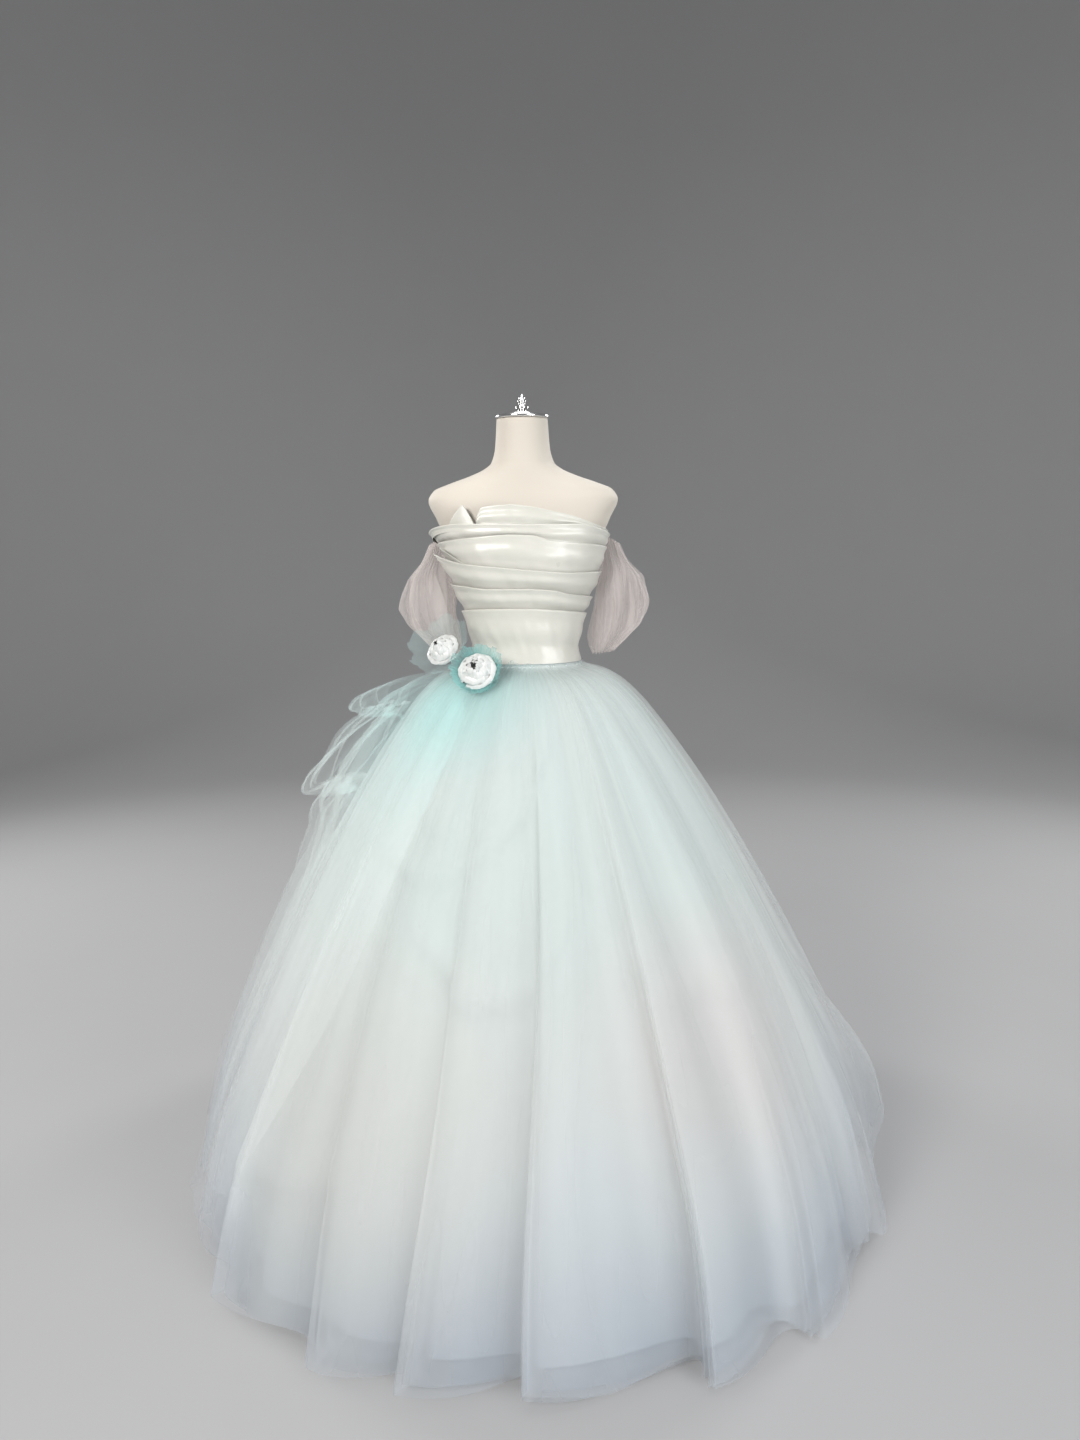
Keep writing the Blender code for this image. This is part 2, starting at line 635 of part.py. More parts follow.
def make_frill(name, rose, frill):
    """A tulle frill round a rose: its rings widen from the rose's foot, and its edge waves."""
    across, upward, ahead = rose_axes(rose["faces"])
    foot = np.array(rose["mouth_at"]) - ahead * rose["height"]
    waves = frill["waves"]
    columns = 3 * waves

    def point(j, ring):
        turn = math.tau * j / columns
        radius = frill["rings"][ring]
        wave = frill["wave"] * math.cos(waves * turn) * radius / frill["rings"][0]
        lift = frill["lifts"][ring] + wave * (ring < 2)
        return settled(foot + ahead * lift + radius * (across * math.cos(turn) + upward * math.sin(turn)))

    outside = np.array([[point(j, ring) for j in range(columns)] for ring in range(len(frill["rings"]))])
    inside = outside - outward(outside, True) * TULLE
    wall(name, outside, inside, TULLE_AQUA, closed=True)


def main():
    clear_scene()
    make_stand()
    make_form()
    make_neck_cap()
    make_bodice()
    for name in BANDS:
        make_band(name)
    make_peak()
    make_sleeve("sleeve_left", 1)
    make_sleeve("sleeve_right", -1)
    make_skirt()
    make_drape()
    for name, rose in ROSES.items():
        make_rose(name, **rose)
    make_frill("rose_ruffle", ROSES["rose_front"], RUFFLE)
    make_frill("rose_puff", ROSES["rose_back"], PUFF)


main()
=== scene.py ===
"""Looks of the ball gown on its dress form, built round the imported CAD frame.

Metres, with +Z up and the front towards -Y. Angles round the body are in degrees from the front, positive
towards +X, and a drop is a height below the waist. Each cloth piece is a thin shell on its solid's form.
"""

import math

import bpy
import numpy as np
from mathutils import Matrix, Vector


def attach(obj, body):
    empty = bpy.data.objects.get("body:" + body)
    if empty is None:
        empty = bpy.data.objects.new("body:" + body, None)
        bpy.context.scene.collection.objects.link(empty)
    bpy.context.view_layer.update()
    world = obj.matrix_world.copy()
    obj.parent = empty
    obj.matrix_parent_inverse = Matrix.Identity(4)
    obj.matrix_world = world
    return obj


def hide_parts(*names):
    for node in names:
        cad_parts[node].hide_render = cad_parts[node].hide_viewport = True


WAIST, NECK_TOP = 1.062, 1.530
SEAM_GAP = 0.0003
SEAT = 0.0027  # how far the skirt's waist stands off the bodice
SATIN_WALL = 0.0016  # from a satin panel's face to its lining side
NET_TOUCH = 0.0025  # least height of a hem above the floor

FORM = (  # height, side, front, back, square
    (0.860, 0.1500, 0.0950, 0.1100, 2.3), (0.930, 0.1480, 0.0950, 0.1080, 2.3),
    (1.000, 0.1220, 0.0860, 0.0920, 2.2), (1.060, 0.1020, 0.0765, 0.0755, 2.1),
    (1.095, 0.0996, 0.0754, 0.0734, 2.1), (1.150, 0.1096, 0.0823, 0.0784, 2.1),
    (1.190, 0.1240, 0.0950, 0.0870, 2.1), (1.235, 0.1400, 0.1115, 0.0935, 2.2),
    (1.270, 0.1480, 0.1160, 0.0960, 2.2), (1.305, 0.1560, 0.1040, 0.0960, 2.2),
    (1.340, 0.1700, 0.0880, 0.0930, 2.3), (1.376, 0.1855, 0.0740, 0.0860, 2.3),
    (1.395, 0.1750, 0.0660, 0.0800, 2.2), (1.408, 0.1450, 0.0620, 0.0750, 2.1),
    (1.422, 0.1050, 0.0590, 0.0700, 2.0), (1.435, 0.0760, 0.0570, 0.0660, 2.0),
    (1.447, 0.0615, 0.0540, 0.0600, 2.0), (1.475, 0.0535, 0.0500, 0.0520, 2.0),
    (1.530, 0.0495, 0.0470, 0.0480, 2.0),
)
BODICE = (  # the same
    (1.062, 0.1100, 0.0825, 0.0825, 2.1), (1.095, 0.1030, 0.0790, 0.0770, 2.1),
    (1.150, 0.1135, 0.0865, 0.0825, 2.1), (1.190, 0.1275, 0.0985, 0.0905, 2.1),
    (1.235, 0.1435, 0.1150, 0.0970, 2.2), (1.270, 0.1515, 0.1200, 0.0995, 2.2),
    (1.305, 0.1600, 0.1160, 0.1000, 2.2), (1.340, 0.1680, 0.1080, 0.1000, 2.2),
    (1.375, 0.1720, 0.1000, 0.1000, 2.2),
)
BODICE_TOP = ((0, 1.335), (40, 1.330), (70, 1.312), (92, 1.303), (130, 1.288), (180, 1.276))
BANDS = {  # angle, height of the folded edge, how far it stands out
    "fold_band_1": ((-92, 1.160, 0.0078), (-80, 1.162, 0.008), (-40, 1.168, 0.009), (0, 1.169, 0.009),
                    (33, 1.165, 0.009), (80, 1.155, 0.008), (92, 1.153, 0.0078)),
    "fold_band_2": ((-92, 1.215, 0.0088), (-80, 1.214, 0.0088), (-58, 1.212, 0.010), (-34, 1.207, 0.009),
                    (0, 1.207, 0.009), (28, 1.203, 0.009), (45, 1.195, 0.010), (80, 1.187, 0.0085),
                    (92, 1.185, 0.0078)),
    "fold_band_3": ((-94, 1.265, 0.0120), (-88, 1.274, 0.025), (-68, 1.264, 0.016), (-51, 1.255, 0.011),
                    (-17, 1.247, 0.010), (11, 1.241, 0.010), (44, 1.236, 0.009), (80, 1.236, 0.008),
                    (92, 1.236, 0.0078)),
    "fold_band_4": ((-92, 1.285, 0.0095), (-84, 1.291, 0.0130), (-60, 1.299, 0.0105), (-38, 1.304, 0.010),
                    (-12, 1.308, 0.010), (8, 1.306, 0.010), (24, 1.296, 0.009), (60, 1.288, 0.009),
                    (80, 1.283, 0.008), (92, 1.280, 0.0078)),
    "fold_band_5": ((-94, 1.300, 0.0078), (-86, 1.312, 0.023), (-67, 1.325, 0.018), (-51, 1.329, 0.013),
                    (-18, 1.3275, 0.011), (9, 1.326, 0.011), (46, 1.327, 0.010), (66, 1.316, 0.009),
                    (88, 1.305, 0.0078)),
    "fold_band_6": ((-40, 1.342, 0.006), (-37.5, 1.3585, 0.006), (-30, 1.3615, 0.006), (-13, 1.3635, 0.006),
                    (9, 1.359, 0.006), (25, 1.352, 0.006), (42, 1.343, 0.006), (64, 1.324, 0.005), (80, 1.314, 0.0045)),
}
BAND_OVERLAP = 0.010  # how far a band's foot is tucked behind the edge below
BAND_SEAT, BAND_ROLL = 0.0022, 0.0016  # a band's stand-off at its foot, and its edge's radius
BAND_BELLY = 0.0034

SKIRT_DROP = (0.000, 0.006, 0.012, 0.026, 0.058, 0.120, 0.240, 0.420, 0.660, 0.860, 1.030)
SKIRT_REACH = (0.000, 0.0015, 0.026, 0.062, 0.105, 0.158, 0.243, 0.351, 0.475, 0.560, 0.604)
HEM_MEAN, HEM_LEAN, HEM_TRAIN, HEM_OVAL, HEM_CORNERS = 0.725, 0.020, 0.022, 0.030, 0.018
FOLDS = (  # valley, crest, height at the hem, lean
    (-96, -83, 0.012, 0.3), (-73, -61, 0.018, 0.6), (-49, -42, 0.030, 0.8), (-32, -26, 0.018, 0.6),
    (-16, -12, 0.024, 1.0), (0, 4, 0.030, 1.1), (21, 26, 0.034, 1.1), (35, 44, 0.032, 0.6), (57, 66, 0.018, 0.6),
    (82, 96, 0.044, 0.4), (112, 121, 0.026, 0.7), (136, 145, 0.030, 0.8), (158, 168, 0.032, 0.6),
    (181, 190, 0.028, 0.8), (203, 211, 0.028, 0.7), (224, 232, 0.026, 0.8), (244, 252, 0.020, 0.6),
)
ROSE_AT = (-0.125, -0.145, 1.010)


def curve(places, values):
    """A function through the points that keeps rising or falling where they do. It takes and returns arrays."""
    places, values = np.array(places, float), np.array(values, float)
    steps = np.diff(places)
    rises = np.diff(values) / steps
    slopes = np.zeros(len(values))
    slopes[0], slopes[-1] = rises[0], rises[-1]
    same = rises[:-1] * rises[1:] > 0
    slopes[1:-1][same] = 2 * (rises[:-1] * rises[1:])[same] / (rises[:-1] + rises[1:])[same]

    def value(x):
        x = np.clip(np.asarray(x, float), places[0], places[-1])
        i = np.clip(np.searchsorted(places, x, side="right") - 1, 0, len(steps) - 1)
        t = (x - places[i]) / steps[i]
        return (
            (1 + 2 * t) * (1 - t) ** 2 * values[i]
            + t * (1 - t) ** 2 * steps[i] * slopes[i]
            + t**2 * (3 - 2 * t) * values[i + 1]
            + t**2 * (t - 1) * steps[i] * slopes[i + 1]
        )

    return value


def smooth(low, high, x):
    t = np.clip((np.asarray(x, float) - low) / (high - low), 0, 1)
    return t * t * (3 - 2 * t)


def sections(table):
    columns = list(zip(*table))
    return [curve(columns[0], column) for column in columns[1:]]


def section_radius(curves, angle, height, lift=0.0):
    side, front, back, square = (part(height) for part in curves)
    turn = np.radians(angle)
    along = np.where(np.cos(turn) > 0, front, back)
    across = np.abs(np.sin(turn)) / (side + lift)
    deep = np.abs(np.cos(turn)) / (along + lift)
    return (across**square + deep**square) ** (-1 / square)


def polar(angle, radius, height):
    turn = np.radians(angle)
    return np.stack(np.broadcast_arrays(radius * np.sin(turn), -radius * np.cos(turn), height), axis=-1)


FORM_CURVES, BODICE_CURVES = sections(FORM), sections(BODICE)
REACH = curve(SKIRT_DROP, SKIRT_REACH)


def hem_radius(angle):
    turn = np.radians(angle)
    shift = HEM_LEAN * np.sin(turn) - HEM_TRAIN * np.cos(turn)
    return HEM_MEAN + shift + HEM_OVAL * np.cos(2 * turn) - HEM_CORNERS * np.cos(4 * turn)


def skirt_point(angle, drop, out=0.0, bulge=0.0):
    """A point of the skirt: out is along its normal, bulge straight away from the axis."""
    waist = section_radius(BODICE_CURVES, angle, WAIST, SEAT)
    spread = (hem_radius(angle) - waist) / SKIRT_REACH[-1]
    step = 0.002
    slope = (REACH(drop + step) - REACH(np.maximum(drop - step, 0))) / (step + np.minimum(drop, step)) * spread
    slope = np.where(drop <= 0, 0, slope)
    tilt = np.hypot(1, slope)
    radius = waist + REACH(drop) * spread + bulge + out / tilt
    return polar(angle, radius, WAIST - SEAM_GAP - drop + out * slope / tilt)


def fold_field(angle):
    """The skirt's main folds at an angle: height from -1 at a valley to 1 at a crest, amplitude, and lean."""
    first = FOLDS[0][0]
    turned = (np.asarray(angle, float) - first) % 360 + first
    places, phases, heights, leans = [], [], [], []
    for k, (valley, crest, height, lean) in enumerate(FOLDS):
        places += [valley, crest]
        phases += [2 * k - 1, 2 * k]
        heights += [min(height, FOLDS[k - 1][2]), height]
        leans += [0, lean * (crest - valley)]
    places.append(first + 360)
    phases.append(2 * len(FOLDS) - 1)
    heights.append(heights[0])
    leans.append(0)
    phase = np.interp(turned, places, phases) * math.pi
    wave = np.cos(phase)
    return wave, np.interp(turned, places, heights), np.interp(turned, places, leans) * (1 + wave) / 2


def ripples(angle, drop, seed, waves):
    """A sum of uneven waves round the skirt. Each wave is (count, height, growth with the drop)."""
    turn = np.radians(angle)
    total = 0
    for k, (count, height, growth) in enumerate(waves):
        shift = seed * 1.7 + k * 2.3
        warp = 0.10 * np.sin(3 * turn + shift) + 0.06 * np.sin(7 * turn + 2.1 * shift)
        warp = warp + 0.03 * np.sin(13 * turn - shift)
        envelope = 0.55 + 0.45 * np.sin(5 * turn + 1.3 * shift + 2.0 * drop)
        phase = count * (turn + warp) + shift + 1.5 * np.sin(shift) * drop
        total = total + height * growth(drop) * envelope * np.sin(phase)
    return total


# Meshes


def corners(grid):
    """The four corners of each of a grid's quads, in order."""
    return np.stack([grid[:-1, :-1], grid[1:, :-1], grid[1:, 1:], grid[:-1, 1:]], 2)


def mesh_object(name, grids, material, closed=False, body="root"):
    """One object from grids of points whose rows run down the cloth, with a UV in metres along the cloth."""
    points, faces, uvs, start = [], [], [], 0
    for grid in grids:
        rows, columns = grid.shape[:2]
        index = np.arange(rows * columns).reshape(rows, columns) + start
        if closed:
            index = np.concatenate([index, index[:, :1]], axis=1)
        faces.append(corners(index).reshape(-1, 4))
        wide = np.concatenate([grid, grid[:, :1]], axis=1) if closed else grid
        down = np.linalg.norm(np.diff(wide, axis=0), axis=2).mean(1)
        across = np.linalg.norm(np.diff(wide, axis=1), axis=2).mean(0)
        v = np.concatenate([[0], np.cumsum(down)])
        u = np.concatenate([[0], np.cumsum(across)])
        uv = np.stack(np.meshgrid(u, -v), -1)
        uvs.append(corners(uv).reshape(-1, 2))
        points.append(grid.reshape(-1, 3))
        start += rows * columns
    points, faces, uvs = np.concatenate(points), np.concatenate(faces), np.concatenate(uvs)
    mesh = bpy.data.meshes.new(name)
    mesh.vertices.add(len(points))
    mesh.vertices.foreach_set("co", points.astype(np.float32).ravel())
    mesh.loops.add(faces.size)
    mesh.loops.foreach_set("vertex_index", faces.astype(np.int32).ravel())
    mesh.polygons.add(len(faces))
    mesh.polygons.foreach_set("loop_start", np.arange(0, faces.size, 4, dtype=np.int32))
    mesh.update(calc_edges=True)
    mesh.uv_layers.new(name="cloth").data.foreach_set("uv", uvs.astype(np.float32).ravel())
    mesh.shade_smooth()
    mesh.materials.append(material)
    obj = bpy.data.objects.new(name, mesh)
    bpy.context.collection.objects.link(obj)
    if body:
        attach(obj, body)
    return obj


# Materials


class Nodes:
    """Short names for building one material's nodes."""

    def __init__(self, name):
        self.material = bpy.data.materials.new(name)
        self.material.use_nodes = True
        self.tree = self.material.node_tree
        self.shader = self.tree.nodes["Principled BSDF"]
        self.output = self.tree.nodes["Material Output"]

    def add(self, kind, **settings):
        node = self.tree.nodes.new("ShaderNode" + kind)
        for key, value in settings.items():
            setattr(node, key, value)
        return node

    def put(self, node, **values):
        for key, value in values.items():
            node.inputs[key.replace("_", " ")].default_value = value
        return node

    def link(self, source, target):
        self.tree.links.new(source, target)

    def math(self, operation, a, b=0.0, c=0.0):
        node = self.add("Math", operation=operation)
        for socket, value in zip(node.inputs, (a, b, c)):
            if isinstance(value, (int, float)):
                socket.default_value = value
            else:
                self.link(value, socket)
        return node.outputs[0]

    def mix(self, factor, a, b):
        node = self.add("Mix", data_type="RGBA")
        for socket, value in ((node.inputs[0], factor), (node.inputs[6], a), (node.inputs[7], b)):
            if isinstance(value, (int, float)):
                socket.default_value = value
            elif isinstance(value, tuple):
                socket.default_value = (*value, 1)
            else:
                self.link(value, socket)
        return node.outputs[2]

    def fade(self, value, low, high, first=0.0, last=1.0):
        node = self.add("MapRange", interpolation_type="SMOOTHSTEP")
        self.link(value, node.inputs["Value"])
        for key, number in (("From Min", low), ("From Max", high), ("To Min", first), ("To Max", last)):
            node.inputs[key].default_value = number
        return node.outputs[0]

    def object_point(self):
        return self.add("TexCoord").outputs["Object"]

    def cloth_uv(self, across=1.0, along=1.0):
        node = self.add("Mapping")
        self.link(self.add("TexCoord").outputs["UV"], node.inputs["Vector"])
        node.inputs["Scale"].default_value = (across, along, 1)
        return node.outputs[0]

    def noise(self, vector, scale, detail=2.0, roughness=0.5):
        node = self.put(self.add("TexNoise"), Scale=scale, Detail=detail, Roughness=roughness)
        self.link(vector, node.inputs["Vector"])
        return node.outputs["Fac"]

    def distance(self, point):
        node = self.add("VectorMath", operation="DISTANCE")
        self.link(self.object_point(), node.inputs[0])
        node.inputs[1].default_value = point
        return node.outputs["Value"]

    def bump(self, height, strength, distance):
        node = self.put(self.add("Bump"), Strength=strength, Distance=distance)
        self.link(height, node.inputs["Height"])
        self.link(node.outputs[0], self.shader.inputs["Normal"])
        return node.outputs[0]


DYE_HEIGHT = 1.1
SKIRT_DYE = (  # height as a share of DYE_HEIGHT, colour
    (0.00, (0.60, 0.66, 0.73)), (0.07, (0.70, 0.75, 0.81)), (0.20, (0.79, 0.84, 0.87)),
    (0.38, (0.86, 0.89, 0.88)), (0.62, (0.83, 0.905, 0.885)), (0.82, (0.82, 0.90, 0.88)),
    (1.00, (0.82, 0.89, 0.875)),
)
CREAM_AT, BLUSH_AT = (-0.30, -0.60, 0.36), (0.34, -0.45, 0.45)
CREAM_DYE, BLUSH_DYE = (0.85, 0.86, 0.83), (0.86, 0.82, 0.81)
STREAK_DYE, AQUA_DYE = (0.86, 0.88, 0.865), (0.46, 0.84, 0.82)


def skirt_dye(n, aqua=0.9, reach=0.22):
    """The tulle's dye: lavender at the hem, cream and mint above, aqua round the roses."""
    point = n.object_point()
    split = n.add("SeparateXYZ")
    n.link(point, split.inputs[0])
    cloud = n.noise(point, 3.2, 1.0)
    level = n.math("DIVIDE", split.outputs["Z"], DYE_HEIGHT)
    height = n.math("MULTIPLY_ADD", n.math("SUBTRACT", cloud, 0.5), 0.16, level)
    ramp = n.add("ValToRGB")
    ramp.color_ramp.interpolation = "B_SPLINE"
    for k, (place, colour) in enumerate(SKIRT_DYE):
        stop = ramp.color_ramp.elements[k] if k < 2 else ramp.color_ramp.elements.new(place)
        stop.position = place
        stop.color = (*colour, 1)
    n.link(height, ramp.inputs[0])
    colour = ramp.outputs[0]
    patches = ((CREAM_AT, 0.10, 0.42, 0.65, CREAM_DYE), (BLUSH_AT, 0.06, 0.34, 0.55, BLUSH_DYE))
    for place, near, far, strength, dye in patches:
        share = n.math("MULTIPLY", n.fade(n.distance(place), near, far, 1.0, 0.0), strength)
        colour = n.mix(share, colour, dye)
    streak = n.noise(n.cloth_uv(9.0, 0.9), 1.0, 1.0)
    colour = n.mix(n.math("MULTIPLY", n.fade(streak, 0.42, 0.66), 0.40), colour, STREAK_DYE)
    near = n.fade(n.distance(ROSE_AT), 0.03, reach, 1.0, 0.0)
    uneven = n.math("MULTIPLY", near, n.math("MULTIPLY_ADD", cloud, 0.4, 0.38 * aqua))
    return n.mix(n.math("MINIMUM", uneven, 0.9), colour, AQUA_DYE)


def scaled(colour, by):
    """A colour made a little darker, by one share or by one for each channel."""
    shares = (by, by, by) if isinstance(by, float) else by
    return tuple(channel * share for channel, share in zip(colour, shares))


def tulle(name, cover, dye=None, colour=None, sheen=0.35, glow=0.35, patchy=0.30, grain=(26.0, 2.0)):
    """Sheer net: a soft cloth that lets part of the light through and part of the view.

    cover is the share of the view that it hides, patchy how far that varies, and grain the patches' count in
    a metre across and along the cloth. It is dyed by a function of its nodes, or has one colour."""
    n = Nodes(name)
    if dye:
        base = dye(n)
    else:
        base = n.mix(n.noise(n.cloth_uv(30.0, 3.0), 1.0, 1.0), colour, scaled(colour, 0.86))
    n.link(base, n.shader.inputs["Base Color"])
    n.put(n.shader, Roughness=0.75)
    n.shader.inputs["Sheen Weight"].default_value = sheen
    n.shader.inputs["Sheen Roughness"].default_value = 0.4
    n.shader.inputs["Specular IOR Level"].default_value = 0.2
    translucent = n.add("BsdfTranslucent")
    n.link(base, translucent.inputs["Color"])
    body = n.add("MixShader")
    body.inputs[0].default_value = glow
    n.link(n.shader.outputs[0], body.inputs[1])
    n.link(translucent.outputs[0], body.inputs[2])
    if cover > 1:  # a closed cloth, which lets no view through
        n.link(body.outputs[0], n.output.inputs["Surface"])
        return n.material
    clear = n.add("BsdfTransparent")
    density = n.noise(n.cloth_uv(*grain), 1.0, 0.0)
    amount = n.math("MULTIPLY_ADD", density, patchy, cover - 0.5 * patchy)
    sheer = n.add("MixShader")
    n.link(n.math("MINIMUM", n.math("MAXIMUM", amount, 0.0), 1.0), sheer.inputs[0])
    n.link(clear.outputs[0], sheer.inputs[1])
    n.link(body.outputs[0], sheer.inputs[2])
    n.link(sheer.outputs[0], n.output.inputs["Surface"])
    return n.material


def satin(name, colour, roughness, wrinkle=0.3):
    """Duchess satin: a fine slanted weave, a soft gloss and faint pressing marks."""
    n = Nodes(name)
    point = n.object_point()
    cloud = n.noise(point, 14.0, 3.0)
    base = n.mix(n.fade(cloud, 0.35, 0.70), colour, scaled(colour, (0.95, 0.955, 0.95)))
    n.link(base, n.shader.inputs["Base Color"])
    polish = n.math("MULTIPLY_ADD", n.noise(point, 40.0, 2.0), 0.10, roughness - 0.05)
    n.link(polish, n.shader.inputs["Roughness"])
    n.shader.inputs["Specular IOR Level"].default_value = 0.75
    n.shader.inputs["Sheen Weight"].default_value = 0.15
    n.shader.inputs["Sheen Roughness"].default_value = 0.3
    n.shader.inputs["Coat Weight"].default_value = 0.35
    n.shader.inputs["Coat Roughness"].default_value = 0.30
    weave = n.add("TexWave", wave_type="BANDS", bands_direction="DIAGONAL")
    n.link(n.cloth_uv(1.0, 1.0), weave.inputs["Vector"])
    n.put(weave, Scale=380.0, Distortion=0.6, Detail=1.0)
    stretched = n.add("Mapping")
    n.link(point, stretched.inputs["Vector"])
    stretched.inputs["Scale"].default_value = (0.45, 0.45, 1.3)
    marks = n.math("MULTIPLY_ADD", n.noise(stretched.outputs[0], 26.0, 3.0, 0.5), wrinkle * 7,
                   n.math("MULTIPLY", weave.outputs["Fac"], 0.10))
    n.bump(marks, 0.45, 0.0014)
    return n.material


def jersey(name, colour):
    """The form's knitted cover, matt."""
    n = Nodes(name)
    point = n.object_point()
    cloud = n.noise(point, 5.0, 3.0)
    n.link(n.mix(cloud, colour, scaled(colour, (0.94, 0.93, 0.92))), n.shader.inputs["Base Color"])
    n.link(n.math("MULTIPLY_ADD", n.noise(point, 60.0), 0.16, 0.60), n.shader.inputs["Roughness"])
    n.shader.inputs["Sheen Weight"].default_value = 0.25
    knit = n.add("TexWave", wave_type="BANDS", bands_direction="X")
    n.link(n.cloth_uv(1.0, 1.0), knit.inputs["Vector"])
    n.put(knit, Scale=260.0, Distortion=1.5, Detail=1.0)
    n.bump(n.math("ADD", knit.outputs["Fac"], n.noise(point, 700.0)), 0.12, 0.0006)
    return n.material


def chrome(name):
    n = Nodes(name)
    n.put(n.shader, Metallic=1.0)
    n.shader.inputs["Base Color"].default_value = (0.90, 0.90, 0.89, 1)
    smear = n.noise(n.object_point(), 45.0, 4.0)
    n.link(n.fade(smear, 0.3, 0.8, 0.07, 0.20), n.shader.inputs["Roughness"])
    return n.material


def plain(name, colour, roughness):
    n = Nodes(name)
    speck = n.noise(n.object_point(), 3.0, 3.0)
    n.link(n.mix(speck, colour, scaled(colour, 0.97)), n.shader.inputs["Base Color"])
    n.put(n.shader, Roughness=roughness)
    return n.material


# The form and its metalwork


def make_form():
    count = 120
    angles = np.arange(count) * 360 / count
    heights = np.concatenate([np.linspace(0.860, 1.36, 90), np.linspace(1.364, NECK_TOP, 70)])
    angles, heights = angles[None, :], heights[::-1, None]
    grid = polar(angles, section_radius(FORM_CURVES, angles, heights), heights)
    shares = (0.0005, 0.5, 0.96)
    top = [grid[:1] * (share, share, 1) for share in shares]
    foot = [grid[-1:] * (share, share, 1) for share in shares[::-1]]
    form = mesh_object("dress_form", [np.concatenate([*top, grid, *foot])], IVORY, closed=True)
    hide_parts("form_torso")


def lathe(name, profile, node):
    """A turned metal piece with softened corners, from (radius, height) points."""
    count = 96
    turn = np.arange(count) * math.tau / count
    fine = []
    for (r0, h0), (r1, h1) in zip(profile, profile[1:]):
        steps = max(2, int(math.hypot(r1 - r0, h1 - h0) / 0.0009))
        fine += [(r0 + (r1 - r0) * k / steps, h0 + (h1 - h0) * k / steps) for k in range(steps)]
    fine.append(profile[-1])
    line = np.array(fine)
    for _ in range(2):
        line[1:-1] = (line[:-2] + 2 * line[1:-1] + line[2:]) / 4
    line[:, 0] = np.maximum(line[:, 0], 1e-5)
    line = line[::-1]
    grid = np.stack([line[:, :1] * np.cos(turn), line[:, :1] * np.sin(turn), line[:, 1:] + 0 * turn], -1)
    piece = mesh_object(name, [grid[:, ::-1]], CHROME, closed=True)
    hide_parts(node)


def make_metalwork():
    foot = NECK_TOP + SEAM_GAP
    lathe("neck_plate", (
        (0, foot), (0.0525, foot), (0.0535, foot + 0.0015), (0.0535, foot + 0.0050), (0.050, foot + 0.0062),
        (0.0400, foot + 0.0066), (0.0380, foot + 0.0095), (0.0300, foot + 0.0105), (0.0180, foot + 0.0130),
        (0, foot + 0.0130)), "form_neck_cap")
    foot += 0.0130 + SEAM_GAP
    lathe("neck_finial", (
        (0, foot), (0.010, foot), (0.0075, foot + 0.002), (0.0130, foot + 0.006), (0.0135, foot + 0.009),
        (0.0085, foot + 0.0135), (0.0060, foot + 0.015), (0.0085, foot + 0.018), (0.0085, foot + 0.021),
        (0.0055, foot + 0.0235), (0.0065, foot + 0.026), (0.0040, foot + 0.0295),
        (0, foot + 0.0335)), "form_finial")
    for name in ("stand_base", "stand_pole"):
        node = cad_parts[name]
        node.data.materials.clear()
        node.data.materials.append(CHROME)


# Bodice


def soft_wrinkles(angle, height, size, seed):
    """Shallow pulls in pressed satin, in metres."""
    a, h = np.radians(angle), height * 10
    pulls = np.sin(9 * a + 5 * h + seed) * np.sin(3.1 * a - 4 * h + 2 * seed)
    return size * (0.6 * pulls + 0.4 * np.sin(21 * a + 9 * h + 3 * seed) * np.sin(5 * a + seed))


def make_bodice():
    top = curve(*zip(*BODICE_TOP))

    def panel(name, first, last, columns, node):
        angle = np.linspace(first, last, columns)[None, :]
        highest = top(np.abs((angle + 180) % 360 - 180))
        share = np.linspace(0, 1, 70)[:, None]
        height = highest + (WAIST - highest) * share
        lift = soft_wrinkles(angle, height, 0.0005, 1.0) * np.sin(math.pi * share)
        outer = polar(angle, section_radius(BODICE_CURVES, angle, height, lift), height)
        inner = polar(angle, section_radius(BODICE_CURVES, angle, height, lift - SATIN_WALL), height)
        turned_in = inner[:8][::-1]
        obj = mesh_object(name, [np.concatenate([turned_in, outer])], SATIN)
        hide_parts(node)
        return obj

    front = panel("satin_front", -89.9, 89.9, 180, "bodice_front")
    left = panel("satin_back_left", 90.1, 179.9, 90, "bodice_back_left")
    right = panel("satin_back_right", 180.1, 269.9, 90, "bodice_back_right")


def band_edge(name):
    """A band's folded edge: its height by the angle."""
    return curve(*zip(*[row[:2] for row in BANDS[name]]))


def band_face(name, angle, share):
    """A band's face, share 0 at its foot and 1 at its edge: its height and how far it stands off the bodice,
    and the same of its edge."""
    places, _, lips = zip(*BANDS[name])
    below = f"fold_band_{int(name[-1]) - 1}"
    low = band_edge(below)(angle) - BAND_OVERLAP if below in BANDS else WAIST
    high, out = band_edge(name)(angle), curve(places, lips)(angle) + 0.0015
    height = low + (high - low) * share
    belly = BAND_BELLY * np.sin(math.pi * np.clip((share - 0.30) / 0.56, 0, 1)) ** 2
    lift = BAND_SEAT + (out - BAND_SEAT) * share**2.1 + belly
    middle = np.sin(math.pi * np.clip(share, 0, 1)) ** 0.7
    pulls = soft_wrinkles(angle, height, 0.0012, int(name[-1]) * 1.9) * middle
    return height, lift + pulls, high, out


